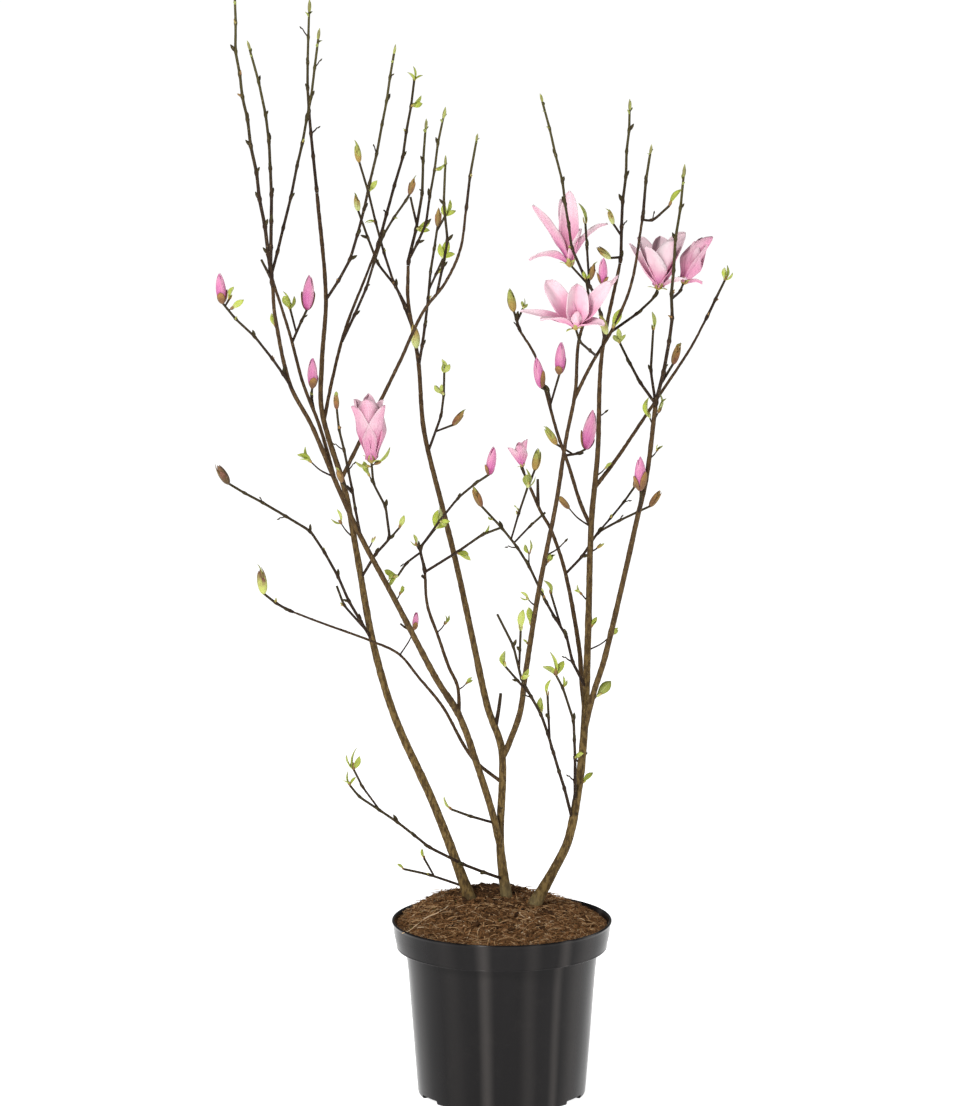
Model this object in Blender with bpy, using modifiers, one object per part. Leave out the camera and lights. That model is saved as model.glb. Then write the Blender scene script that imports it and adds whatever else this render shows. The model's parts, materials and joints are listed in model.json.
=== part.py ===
"""A young magnolia in bud and blossom: three stems with their boughs, sprays of twigs, and a nursery pot.

The origin is the centre of the pot's flat underside. +Z is up, +X is right and +Y is away from the front.
"""

import math
import random
from typing import NamedTuple

import bmesh
import bpy
from mathutils import Matrix, Vector, geometry, kdtree

CM = 0.01
MM = 0.001
GAP = 0.3 * MM

# Pot, a 10-litre container with a deep collar
POT_HEIGHT = 0.226
RIM_RADIUS = 0.140
COLLAR_HEIGHT = 0.0355
COLLAR_FOOT_RADIUS = 0.1335
BODY_TOP_RADIUS = 0.1215
BASE_RADIUS = 0.107
BASE_EDGE = 0.004
WALL = 0.0024
FLOOR = 0.012
NOTCHES = 6
NOTCH_SIZE = (0.018, 0.036, 0.010)
NOTCH_HEIGHT = 0.005
POT_STEPS = 40

# Compost, heaped behind the stems
COMPOST_EDGE = 0.2205
HEAP_HEIGHT = 0.030
HEAP_CENTRE = Vector((-0.022, 0.040, 0))
HEAP_RADIUS = 0.152
HEAP_RINGS = 6
COMPOST_STEPS = 30

# Stems, boughs and twigs
FOOT_FLARE = 0.45
FLARE_REACH = 0.022
FOOT_DEPTH = 0.010
STEM_STEP = 0.065
BOUGH_STEP = 0.055
INTERNODE = 0.034
ZIGZAG = 1.0 * MM
TWIG_TIP = 1.1 * MM
SIDE_TWIG_THICKNESS = 0.78
SIDE_TWIG_FALL = 0.3
LEAF_TURN = math.radians(144)
STUB_SHARE = 0.10
BUD_SHARE = 0.14

# The crown's space, from its lowest corner to its highest
CROWN_LOW = Vector((-0.374, -0.245, 0.250))
CROWN_HIGH = Vector((0.306, 0.260, 1.436))
CLEARANCE = 1.5 * MM

SEED = 1936


class Limb(NamedTuple):
    """A stem, or a bough that leaves its parent at a height in cm. Knots are (right, back, up) in cm."""

    name: str
    parent: str
    height: float
    thickness: tuple
    knots: tuple


class Run(NamedTuple):
    """A twig of a spray, from a share of the first twig's length, and the kind and size in mm of its end."""

    share: float
    end: str
    size: float
    knots: tuple


class Spray(NamedTuple):
    """A mass of twigs on one stem, at a height of its parent in cm, or at the tip where that is None."""

    name: str
    parent: str
    height: float
    thickness: float
    leafy: float
    runs: tuple


STEMS = (
    Limb("stem_left", "", 24.2, (12.0, 4.2), (
        (-3.7, 0.5, 24.2), (-8.6, 2, 37), (-13.6, 4, 48), (-16.4, 5.5, 57.5), (-18.4, 7, 68.5),
        (-19.9, 8, 76.5), (-22.8, 9, 86.5), (-22.8, 10, 93), (-22.3, 11, 101), (-23.4, 12.5, 114))),
    Limb("stem_middle", "", 24.3, (11.0, 4.2), (
        (0.7, 1.5, 24.3), (-0.2, 1.5, 32), (0, 2, 44), (-1.8, 3, 49.5), (-3.7, 4.5, 58),
        (-5.7, 6.5, 67), (-7.7, 8, 75), (-9.9, 10, 84), (-10.6, 11.5, 92.5), (-11.9, 13.5, 100),
        (-11.9, 14, 104.5))),
    Limb("stem_right", "", 24.1, (12.4, 4.0), (
        (3.9, 0, 24.1), (6.6, 0, 29), (8.5, 0.5, 33), (9.9, 1, 41), (10.5, 1.5, 48), (10.9, 2.5, 59),
        (11.3, 4, 73), (12.1, 5, 82), (12.6, 7, 94), (14.9, 9, 105.5))),
)

BOUGHS = (
    Limb("bough_leaning", "stem_middle", 31.5, (9.4, 4.4), (
        (-1.1, 0.2, 36), (-3, -1, 42.5), (-5.4, -2, 49.5), (-8.3, -3, 54.5), (-13.7, -5, 65.5),
        (-17.8, -6, 73.5), (-20.8, -7, 80.5), (-23.6, -8, 87.5), (-26.3, -9, 93), (-28, -10.5, 101.5),
        (-28.3, -11, 105.5))),
    Limb("bough_fork", "stem_middle", 43.0, (8.0, 3.8), (
        (1, 1, 45.5), (2.3, 0, 49.5), (2.9, -2, 54.5), (4.7, -6, 67), (6.7, -9, 78), (7.9, -11, 86.5),
        (9, -12, 92.5), (9.4, -11, 98.5), (10.7, -8, 102.3))),
    Limb("bough_outer", "stem_right", 46.5, (8.0, 5.6), (
        (11.6, 0.2, 52), (12.9, -1, 56.5), (15.5, -3.5, 68.5), (16.8, -5, 75), (18, -6.5, 81), (19, -8, 90))),
    Limb("bough_inner", "stem_right", 49.0, (6.4, 4.0), (
        (10.1, 3.2, 53), (9.8, 4.2, 57), (8.1, 7, 66), (6.3, 8.5, 71.3), (5, 9.5, 73.5), (3.6, 10, 76.6))),
    Limb("bough_rising", "bough_fork", 91.5, (4.6, 3.2), (
        (11, -12, 96), (13.6, -12.5, 100.5), (15.8, -13, 106), (17.1, -14, 114))),
    Limb("bough_back_right", "stem_right", 77.5, (5.2, 3.0), (
        (14.5, 6, 81), (17.1, 8, 84.5), (20, 10, 88.5), (23.9, 12.5, 94), (25.9, 14, 97.5))),
    Limb("bough_back", "stem_right", 72.5, (5.0, 3.2), (
        (9.9, 5.5, 75.5), (8.4, 8, 80), (7.1, 9.5, 83.5), (5.8, 11, 88), (4.3, 12.5, 93), (2.4, 14, 96))),
    Limb("bough_crossing", "stem_left", 78.0, (5.4, 3.2), (
        (-18.5, 7, 82), (-15.6, 5, 88), (-12.8, 3, 94), (-9.9, 1, 100.5), (-7.1, -1, 104.5),
        (-5.2, -3, 109), (-4.5, -4.5, 114))),
    Limb("bough_left_back", "stem_left", 85.5, (4.8, 3.0), (
        (-21.5, 11, 90.5), (-19.9, 13, 96.5), (-17.1, 15, 103.5), (-15.9, 16.5, 106.5))),
    Limb("bough_left_inner", "bough_leaning", 80.5, (5.0, 3.4), (
        (-22.7, -5.5, 87), (-24.8, -5, 92.5), (-26.4, -4.5, 98.5), (-28.6, -4, 105.5))),
    Limb("bough_reaching_left", "stem_middle", 40.0, (4.6, 2.6), (
        (-3.8, 3, 43), (-7.5, 1, 50), (-10.6, 0.5, 54), (-13, 0, 57), (-16, 0, 58.5), (-22.9, -2, 61.5),
        (-26.2, -3, 63))),
    Limb("bough_knobbly", "bough_leaning", 49.5, (4.6, 3.6), (
        (-5.6, -0.8, 53), (-6.7, -0.8, 55.5), (-8.1, -0.2, 59.5), (-9.4, 0, 63.3), (-9.7, 0, 67.4))),
)

SPRAYS = (
    Spray("shoot_far_left", "bough_leaning", None, 4.0, 0.04, (
        Run(0, "shoot", 18,
            ((-29.7, -12.5, 116.5), (-31.2, -14, 126.5), (-32.4, -15.5, 135), (-32.5, -16, 142))),
        Run(0.02, "cut", 0, ((-29.6, -12.5, 109),)),
    )),
    Spray("shoots_left_front", "bough_left_inner", None, 3.8, 0.05, (
        Run(0, "shoot", 14, ((-28.6, -4.5, 116), (-29.2, -5, 126), (-31.1, -6, 134.2))),
        Run(0.01, "shoot", 16, ((-27.2, -2, 111.5), (-25.5, 0, 119), (-23.8, 2, 127.5), (-22.9, 3, 134.5))),
    )),
    Spray("shoot_left_back", "stem_left", None, 3.6, 0.05, (
        Run(0, "shoot", 18, ((-23.9, 14, 118.5), (-24.6, 15.5, 127), (-24.4, 17, 136.5))),
    )),
    Spray("shoot_left_middle", "stem_left", 100.5, 3.2, 0.05, (
        Run(0, "shoot", 14, ((-19.2, 9, 106), (-16.6, 7, 116), (-15, 6, 123.5), (-13.5, 5, 132.5))),
    )),
    Spray("shoot_back_left", "bough_left_back", None, 3.2, 0.12, (
        Run(0, "tuft", 20, ((-14.7, 18.5, 110.5), (-12.7, 21, 117.5), (-11.2, 23.5, 127))),
    )),
    Spray("spray_left_upper", "bough_left_back", 95.0, 3.0, 0.10, (
        Run(0, "brown", 24, ((-17.2, 11, 102), (-15, 9.5, 109), (-12.1, 9, 113.5), (-11.6, 8.8, 114.4))),
    )),
    Spray("shoot_green_bud", "stem_middle", 98.5, 2.8, 0.10, (
        Run(0, "brown", 27, ((-13.7, 12.3, 102.5), (-15, 11.5, 106.5), (-15.9, 11, 110.5), (-18, 10, 118.3))),
    )),
    Spray("shoot_behind", "stem_middle", 96.5, 2.6, 0.10, (
        Run(0, "brown", 24, ((-13.5, 16, 101.5), (-15.8, 19, 104), (-18.4, 22, 110.5))),
    )),
    Spray("shoots_middle", "stem_middle", None, 3.6, 0.08, (
        Run(0, "shoot", 15, ((-10.9, 15, 109), (-10.2, 16, 113.5), (-9.7, 18, 121.5))),
        Run(0.03, "shoot", 18, ((-9.7, 13, 110), (-8.6, 12, 117), (-7.4, 10, 123.8))),
        Run(0.30, "cut", 0, ((-11.6, 14.6, 113.2),)),
    )),
    Spray("leaf_spray_middle", "stem_middle", 92.0, 3.0, 0.20, (
        Run(0, "brown", 26, ((-9.7, 10, 97.5), (-9, 8.5, 104.5), (-8.1, 7.5, 110.5))),
        Run(0.55, "tuft", 26, ((-7.4, 6.6, 106.5),)),
        Run(0.96, "tuft", 24, ((-7.2, 6.4, 111.8),)),
    )),
    Spray("shoot_crossing", "bough_crossing", None, 3.0, 0.06, (
        Run(0, "shoot", 12, ((-4, -6, 118.5), (-3.2, -7, 123))),
    )),
    Spray("shoot_centre", "bough_crossing", 103.0, 2.6, 0.10, (
        Run(0, "shoot", 14, ((-6.9, 1, 109.5), (-7.2, 2, 114), (-7.1, 3, 118.8))),
    )),
    Spray("twig_fork_top", "bough_fork", None, 3.0, 0.25, (
        Run(0, "tuft", 14, ((10.4, -5.6, 105.6),)),
    )),
    Spray("blossom_front", "bough_rising", 97.0, 2.6, 0.20, (
        Run(0, "open", 66, ((10.8, -16, 98.2), (9.4, -18.6, 99.8), (8.9, -19.2, 101.6))),
    )),
    Spray("shoots_rising", "bough_rising", None, 3.0, 0.10, (
        Run(0, "shoot", 14, ((17.5, -15, 119), (18, -15.6, 122.5))),
        Run(0.02, "leaf", 26, ((18.3, -14.4, 114), (20.4, -14.8, 116))),
    )),
    Spray("blossom_upper_right", "bough_rising", 100.0, 3.0, 0.15, (
        Run(0, "half", 74, ((16.6, -10.4, 102), (18.9, -7.6, 103.6), (19.3, -7.2, 104.8))),
    )),
    Spray("shoots_right", "bough_outer", None, 4.0, 0.08, (
        Run(0, "shoot", 18, ((20.7, -10, 98.5), (21, -11, 107.5), (22.2, -12, 119.2))),
        Run(0.01, "tuft", 20, ((17.1, -8, 93), (14.6, -7.2, 97.8))),
        Run(0.01, "leaf", 24, ((18.4, -7.8, 94.5), (18.7, -7.4, 99.5))),
        Run(0.10, "tipped", 30, ((21.2, -7, 95.2),)),
        Run(0.48, "goblet", 64, ((22, -6.8, 104.2), (22.5, -5.6, 105.2))),
    )),
    Spray("shoot_right_middle", "stem_right", None, 3.4, 0.08, (
        Run(0, "shoot", 16, ((15.1, 10, 110), (15.8, 11, 119.5), (16.1, 12, 124.6))),
        Run(0.04, "brown", 28, ((13.6, 8.2, 106.3),)),
        Run(0.18, "brown", 22, ((14, 9, 110.6),)),
    )),
    Spray("blossom_upper", "stem_right", 96.0, 3.2, 0.06, (
        Run(0, "shoot", 13,
            ((11.9, 3.4, 101.8), (10.1, 0, 105.4), (8.7, -2, 109), (7.4, -5, 117.7), (4.9, -8, 128))),
        Run(0.26, "open_up", 78, ((8.5, 3.2, 106.2),)),
        Run(0.27, "leaf", 28, ((10.6, 1, 108.6), (10.4, 1.6, 111.6))),
        Run(0.15, "pink", 36, ((12.6, 1.6, 104),)),
    )),
    Spray("twigs_far_right", "bough_back_right", None, 3.0, 0.18, (
        Run(0, "tuft", 22, ((27.2, 15.2, 100), (28.4, 16, 102.3))),
    )),
    Spray("bud_spray_back", "bough_back", None, 3.0, 0.15, (
        Run(0, "brown", 32, ((1.9, 14.4, 97.6), (1.5, 14.6, 98.6))),
        Run(0.5, "tuft", 14, ((2.7, 14.2, 99),)),
    )),
    Spray("pink_buds_back", "bough_back", 86.5, 2.6, 0.15, (
        Run(0, "pink", 42, ((6, 9.6, 89), (5, 9.2, 89.6))),
        Run(0.2, "pink", 44, ((7.3, 9, 91.4),)),
    )),
    Spray("pink_bud_right", "bough_back", 81.0, 2.6, 0.15, (
        Run(0, "pink", 54, ((9.6, 9.6, 81), (10.7, 9.9, 81.6))),
        Run(0.4, "brown", 30, ((6.9, 8.8, 82.4),)),
    )),
    Spray("pink_bud_outer", "bough_outer", 76.0, 2.4, 0.10, (
        Run(0, "pink", 46, ((17.3, -7.2, 78.2), (17.2, -7.6, 79.4))),
    )),
    Spray("bud_spray_right", "bough_inner", 66.0, 2.8, 0.15, (
        Run(0, "brown", 28, ((10.2, 8, 68), (12.3, 9, 71), (17.5, 10, 73.5), (18.9, 11, 74))),
        Run(0.45, "brown", 26, ((15.6, 10.6, 74.6), (16.9, 11.4, 76.4))),
    )),
    Spray("blossom_small", "bough_inner", None, 3.0, 0.15, (
        Run(0, "small", 36, ((2.7, 10.4, 78.6), (2.6, 10.4, 79.3))),
        Run(0.1, "brown", 32, ((4.2, 11.6, 78.6),)),
    )),
    Spray("twigs_centre", "stem_right", 52.2, 3.0, 0.12, (
        Run(0, "brown", 30,
            ((8.9, 0, 56), (8.1, -1, 59.5), (5.5, -1.5, 64), (3.5, -1.5, 68.5), (0.1, -1, 73.3),
             (-2.6, -1, 76.2))),
        Run(0.34, "leaf", 22, ((6.2, 0.6, 64.6),)),
        Run(0.80, "tuft", 26, ((2.1, 0.2, 75), (3.2, 0.8, 78.2))),
        Run(0.78, "cut", 0, ((3.5, -3, 74), (5.4, -3.4, 75.8))),
    )),
    Spray("twigs_right_low", "stem_right", 35.5, 3.4, 0.10, (
        Run(0, "cut", 0,
            ((7.9, -1.5, 40), (7.2, -3, 42.5), (4.9, -6, 50.5), (2.4, -8, 55.5), (1.4, -9.5, 60),
             (-0.6, -11, 64.3))),
        Run(0.40, "leaf", 22, ((5.7, -7, 53.2),)),
        Run(0.62, "leaf", 26, ((0.4, -8.6, 57.2),)),
        Run(0.74, "leaf", 28, ((2.3, -10.6, 62.2),)),
    )),
    Spray("twigs_right_mid", "stem_right", 37.5, 3.2, 0.12, (
        Run(0, "tuft", 32, ((9.2, -2, 44), (9, -3, 49), (7.7, -4, 53.5), (6.8, -4.5, 55.2))),
    )),
    Spray("twigs_left_low", "stem_middle", 27.4, 3.2, 0.10, (
        Run(0, "tuft", 20,
            ((-5, -3, 30.5), (-9.1, -4.5, 33), (-13.1, -5.5, 36.5), (-17.9, -6.5, 40), (-19.1, -7, 41.6))),
        Run(0.80, "tuft", 30, ((-17.5, -7.5, 41.5), (-18.6, -8.5, 44),)),
    )),
    Spray("twig_lowest", "stem_left", 26.6, 2.6, 0.12, (
        Run(0, "leaf", 12, ((-9.2, 1.6, 28), (-12.5, 3, 28.4))),
        Run(0.5, "leaf", 14, ((-9.9, 2.6, 29.9),)),
    )),
    Spray("twig_low", "bough_leaning", 35.0, 2.6, 0.12, (
        Run(0, "leaf", 22, ((-3.9, -1.8, 36.4), (-6.4, -3, 37.6))),
    )),
    Spray("bud_far_left", "bough_reaching_left", None, 2.6, 0.08, (
        Run(0, "brown", 36, ((-28.4, -3.7, 64.3), (-29.9, -4, 65.6))),
    )),
    Spray("twigs_knobbly", "bough_knobbly", None, 3.4, 0.22, (
        Run(0, "tuft", 30, ((-10.4, 0, 70.6), (-8.4, 0.6, 73))),
        Run(0.02, "cut", 0, ((-5.7, -1.2, 70.3), (-2.4, -2.4, 72.8), (-0.1, -4, 74))),
        Run(0.42, "tuft", 26, ((-12, -1.2, 69), (-13.1, -1.8, 67.4))),
        Run(0.60, "pink", 38, ((-5.6, -2, 77.4), (-3.4, -3.4, 79.4), (-1.6, -3.6, 80.7))),
    )),
    Spray("twigs_far_left", "stem_left", 57.5, 3.2, 0.06, (
        Run(0, "brown", 32,
            ((-19.3, 4, 63), (-22.3, 2, 69.7), (-24.2, 1, 72.6), (-30.1, -2, 76.8), (-34.2, -4, 79.6))),
        Run(0.06, "cut", 0, ((-20.1, 6.6, 62), (-21, 8, 64.2))),
    )),
    Spray("blossom_left", "stem_left", 65.5, 3.0, 0.10, (
        Run(0, "tulip", 78,
            ((-16, 4.6, 69), (-14.1, 3, 71.3), (-14.7, 1, 75.7), (-16.1, -0.6, 79), (-16.4, -1, 82))),
        Run(0.38, "leaf", 18, ((-12.9, 2, 72.9),)),
    )),
    Spray("twig_inner_left", "bough_leaning", 73.2, 2.8, 0.12, (
        Run(0, "brown", 22, ((-18.3, -7.4, 77), (-19.1, -8.2, 82), (-20.2, -9.2, 87.3), (-20.5, -9.5, 90))),
        Run(0.35, "brown", 24, ((-19.9, -10, 80.9),)),
    )),
    Spray("pink_bud_far_left", "bough_leaning", 92.2, 2.8, 0.10, (
        Run(0, "pink", 40,
            ((-28.3, -11.2, 96.5), (-30.5, -13, 99.5), (-32.7, -14.5, 102), (-34.3, -16, 104.2))),
        Run(0.96, "leaf", 20, ((-33.4, -16.6, 104.8),)),
    )),
    Spray("pink_bud_upper_left", "bough_left_inner", 97.5, 2.6, 0.20, (
        Run(0, "pink", 46, ((-25, -3.2, 100), (-24.3, -2.8, 101.4))),
        Run(0.3, "tuft", 26, ((-26.4, -2.6, 101.4),)),
    )),
    Spray("pink_bud_left", "bough_left_inner", 88.6, 2.4, 0.10, (
        Run(0, "pink", 40, ((-23.8, -3.6, 90.6), (-23.7, -3.2, 91.6))),
    )),
    Spray("buds_middle", "stem_middle", 81.5, 2.6, 0.15, (
        Run(0, "tuft", 20, ((-7.7, 9, 86), (-7.3, 8.6, 91.6))),
        Run(0.25, "brown", 26, ((-6.2, 10.4, 84.6),)),
    )),
)

# How far each tepal tips from the flower's axis in degrees, its turn round it, and its share of the length.
# A turn of 0 points right, 90 back, 180 left and 270 to the front.
TEPALS = {
    "open": ((48, 172, 1.0), (22, 118, 0.9), (16, 50, 0.82), (44, 10, 1.0), (74, 205, 0.98),
             (62, 275, 0.6)),
    "open_up": ((32, 176, 0.95), (10, 20, 0.94), (62, 350, 0.66), (74, 205, 0.6), (30, 90, 0.8),
                (46, 285, 0.5)),
    "half": ((14, 350, 0.98), (24, 172, 0.78), (20, 238, 0.8), (18, 60, 0.86), (30, 300, 0.66),
             (26, 118, 0.75)),
    "goblet": ((12, 325, 0.9), (12, 205, 0.92)),
    "tulip": ((12, 340, 0.84), (12, 222, 0.86)),
    "small": ((24, 350, 0.9), (26, 190, 0.96), (24, 265, 0.7)),
}
CLOSED_CORES = {"goblet": 0.42, "tulip": 0.44, "small": 0.40}
AXES = {
    "open": Vector((0.05, -0.42, 0.90)),
    "open_up": Vector((-0.02, -0.10, 1.0)),
    "half": Vector((0.12, -0.10, 1.0)),
    "goblet": Vector((0.40, -0.05, 0.92)),
    "tulip": Vector((-0.04, -0.05, 1.0)),
    "small": Vector((-0.10, -0.10, 1.0)),
}
TEPAL_WIDTH = {"open": 0.30, "open_up": 0.25, "half": 0.34, "goblet": 0.46, "tulip": 0.44, "small": 0.50}
TEPAL_THICK = 0.9 * MM
TEPAL_SPREAD = 0.045


def clear_scene():
    for old in list(bpy.data.objects):
        bpy.data.objects.remove(old, do_unlink=True)


def new_collection(name, shown=True):
    made = bpy.data.collections.new(name)
    made.hide_render = not shown
    bpy.context.scene.collection.children.link(made)
    return made


def make_material(name, colour, roughness):
    made = bpy.data.materials.new(name)
    made.use_nodes = True
    shader = made.node_tree.nodes["Principled BSDF"]
    shader.inputs["Base Color"].default_value = (*colour, 1)
    shader.inputs["Roughness"].default_value = roughness
    shader.inputs["Metallic"].default_value = 0
    made.diffuse_color = (*colour, 1)
    return made


def mesh_object(name, mesh, material, collection):
    made = bpy.data.objects.new(name, mesh)
    mesh.materials.clear()
    mesh.materials.append(material)
    collection.objects.link(made)
    return made


def object_from(name, shape, material, collection):
    """The bmesh as an object with its faces pointing out."""
    bmesh.ops.recalc_face_normals(shape, faces=shape.faces)
    mesh = bpy.data.meshes.new(name)
    shape.to_mesh(mesh)
    shape.free()
    return mesh_object(name, mesh, material, collection)


def bake_modifiers(thing):
    """Replaces the object's mesh by what its modifiers make of it."""
    bpy.context.view_layer.update()
    graph = bpy.context.evaluated_depsgraph_get()
    made = bpy.data.meshes.new_from_object(thing.evaluated_get(graph))
    thing.modifiers.clear()
    thing.data = made


def combine(thing, operation, other=None, group=None):
    """Cuts or joins an object with another or with a collection, and removes what it used."""
    change = thing.modifiers.new("combine", "BOOLEAN")
    change.operation = operation
    change.solver = "EXACT"
    if group:
        change.operand_type = "COLLECTION"
        change.collection = group
    else:
        change.object = other
    bake_modifiers(thing)
    for used in list(group.objects) if group else [other]:
        bpy.data.objects.remove(used, do_unlink=True)


def keep_outer_shell(thing):
    """Drops the scraps of a Boolean and fills the hollows that it sealed, keeping the largest shell."""
    shape = bmesh.new()
    shape.from_mesh(thing.data)
    left = set(shape.faces)
    shells = []
    while left:
        found = [left.pop()]
        for face in found:
            for edge in face.edges:
                more = [near for near in edge.link_faces if near in left and len(edge.link_faces) == 2]
                left.difference_update(more)
                found += more
        shells.append(found)
    shells.sort(key=len)
    for shell in shells[:-1]:
        bmesh.ops.delete(shape, geom=shell, context="FACES")
    shape.to_mesh(thing.data)
    shape.free()


def smooth(knots, step):
    """Points about a step apart on a rounded line through the knots."""
    headings = []
    for number in range(len(knots)):
        before = knots[max(number - 1, 0)]
        after = knots[min(number + 1, len(knots) - 1)]
        headings.append((after - before).normalized())
    points = [knots[0].copy()]
    for number in range(len(knots) - 1):
        start, end = knots[number], knots[number + 1]
        reach = (end - start).length / 3
        count = max(2, round((end - start).length / step) + 1)
        points += geometry.interpolate_bezier(
            start, start + headings[number] * reach, end - headings[number + 1] * reach, end, count)[1:]
    return points


def shares(points):
    """Each point's share of the line's length."""
    run = [0.0]
    for before, after in zip(points, points[1:]):
        run.append(run[-1] + (after - before).length)
    return [reached / run[-1] for reached in run]


def at_share(points, share):
    """The place and heading at a share of the line's length."""
    steps = shares(points)
    for number in range(len(points) - 1):
        if steps[number + 1] >= share:
            span = points[number + 1] - points[number]
            part = (share - steps[number]) / (steps[number + 1] - steps[number])
            return points[number] + span * part, span.normalized()
    return points[-1].copy(), (points[-1] - points[-2]).normalized()


def share_at_height(points, height):
    for (before, low), (after, high) in zip(
            zip(points, shares(points)), zip(points[1:], shares(points)[1:])):
        if before.z <= height <= after.z:
            return low + (high - low) * (height - before.z) / (after.z - before.z)
    raise ValueError(f"nothing at {height}")


def in_metres(knots):
    return [Vector(knot) * CM for knot in knots]


def tube(name, points, radii, sides, material, collection):
    """A closed tube through the points, as a mesh. Its sides are 4, 6 or 8."""
    line = bpy.data.curves.new(name, "CURVE")
    line.dimensions = "3D"
    line.bevel_depth = 1
    line.bevel_resolution = (sides - 4) // 2
    line.use_fill_caps = True
    spline = line.splines.new("POLY")
    spline.points.add(len(points) - 1)
    for knot, place, radius in zip(spline.points, points, radii):
        knot.co = (*place, 1)
        knot.radius = radius
    guide = bpy.data.objects.new(name, line)
    collection.objects.link(guide)
    bpy.context.view_layer.update()
    graph = bpy.context.evaluated_depsgraph_get()
    mesh = bpy.data.meshes.new_from_object(guide.evaluated_get(graph))
    place = guide.matrix_world.copy()
    bpy.data.objects.remove(guide, do_unlink=True)
    shape = bmesh.new()
    shape.from_mesh(mesh)
    bmesh.ops.remove_doubles(shape, verts=shape.verts, dist=1e-6)
    made = object_from(name, shape, material, collection)
    made.matrix_world = place
    return made


class Plant:
    """The lines of every limb and twig, which the solids are grown on."""

    def __init__(self):
        self.lines = {}
        self.radii = {}
        self.runs = {}
        for limb in STEMS:
            self.add_stem(limb)
        for limb in BOUGHS:
            self.add_bough(limb)
        for number, spray in enumerate(SPRAYS):
            self.add_spray(spray, random.Random(SEED + number))

    def add_stem(self, limb):
        knots = in_metres(limb.knots)
        heading = (knots[1] - knots[0]).normalized()
        below = knots[0] - heading * (FOOT_DEPTH * 2 / heading.z)
        points = smooth([below, *knots], STEM_STEP)
        foot, tip = (value / 2 * MM for value in limb.thickness)
        self.lines[limb.name] = points
        radii = []
        for place, share in zip(points, shares(points)):
            flare = FOOT_FLARE * math.exp(-max(0, place.z - knots[0].z) / FLARE_REACH)
            radii.append((foot + (tip - foot) * share) * (1 + flare))
        self.radii[limb.name] = radii

    def add_bough(self, limb):
        parent = self.lines[limb.parent]
        root, _ = at_share(parent, share_at_height(parent, limb.height * CM))
        points = smooth([root, *in_metres(limb.knots)], BOUGH_STEP)
        foot, tip = (value / 2 * MM for value in limb.thickness)
        self.lines[limb.name] = points
        self.radii[limb.name] = [foot + (tip - foot) * share for share in shares(points)]

    def add_spray(self, spray, rng):
        parent = self.lines[spray.parent]
        if spray.height is None:
            tip, heading = at_share(parent, 1)
            roots = [tip + heading * GAP, tip + heading * 6 * MM]
        else:
            roots = [at_share(parent, share_at_height(parent, spray.height * CM))[0]]
        runs = []
        for run in spray.runs:
            if runs:
                roots = [at_share(runs[0][0], run.share)[0]]
            points = smooth(roots + in_metres(run.knots), INTERNODE)
            points = self.zigzag(points, len(roots), rng)
            foot = spray.thickness / 2 * MM
            if runs:
                foot *= SIDE_TWIG_THICKNESS - SIDE_TWIG_FALL * run.share
            radii = [foot + (TWIG_TIP - foot) * share for share in shares(points)]
            runs.append((points, radii, run))
        self.runs[spray.name] = runs

    @staticmethod
    def zigzag(points, kept, rng):
        """Kinks a twig at its nodes, alternately to either side."""
        side = Vector((rng.uniform(-1, 1), rng.uniform(-1, 1), 0)).normalized()
        for number in range(kept + 1, len(points) - 1):
            points[number] = points[number] + side * ZIGZAG * (-1) ** number
        return points


class Space:
    """What each node takes up, as balls, so that leaves keep clear of every other node."""

    def __init__(self, plant):
        self.balls = []
        self.late = []
        for name, points in plant.lines.items():
            self.add_line(name, points, plant.radii[name])
        for name, runs in plant.runs.items():
            for points, radii, _ in runs:
                self.add_line(name, points, radii)
        self.tree = kdtree.KDTree(len(self.balls))
        for number, (_, place, _) in enumerate(self.balls):
            self.tree.insert(place, number)
        self.tree.balance()
        self.widest = max(radius for _, _, radius in self.balls)

    def add_line(self, name, points, radii):
        for start, end, radius in zip(points, points[1:], radii):
            count = max(1, round((end - start).length / (2 * MM)))
            for step in range(count + 1):
                self.balls.append((name, start.lerp(end, step / count), radius))

    def free(self, name, start, end, radius):
        """Whether a slim body from start to end stays in the crown and clear of the other nodes."""
        for place in (start, end):
            if any(not low <= value <= high for low, value, high in zip(CROWN_LOW, place, CROWN_HIGH)):
                return False
        for share in (0.15, 0.4, 0.7, 1):
            place = start.lerp(end, share)
            reach = radius + self.widest + CLEARANCE
            for _, number, distance in self.tree.find_range(place, reach):
                other, _, thick = self.balls[number]
                if other != name and distance < radius + thick + CLEARANCE:
                    return False
            for other, spot, thick in self.late:
                if other != name and (spot - place).length < radius + thick + CLEARANCE:
                    return False
        return True

    def take(self, name, start, end, radius):
        for share in (0.15, 0.5, 0.85):
            self.late.append((name, start.lerp(end, share), radius))


def turned(heading, tilt, turn):
    """A heading tipped by an angle and turned round the old one."""
    side = heading.orthogonal().normalized()
    side.rotate(Matrix.Rotation(turn, 3, heading))
    return (heading * math.cos(tilt) + side * math.sin(tilt)).normalized()


def aimed(heading, place, roll=0):
    """The matrix that stands a shape's Z along a heading at a place."""
    rotation = heading.to_track_quat("Z", "Y").to_matrix().to_4x4()
    return Matrix.Translation(place) @ rotation @ Matrix.Rotation(roll, 4, "Z")


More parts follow.
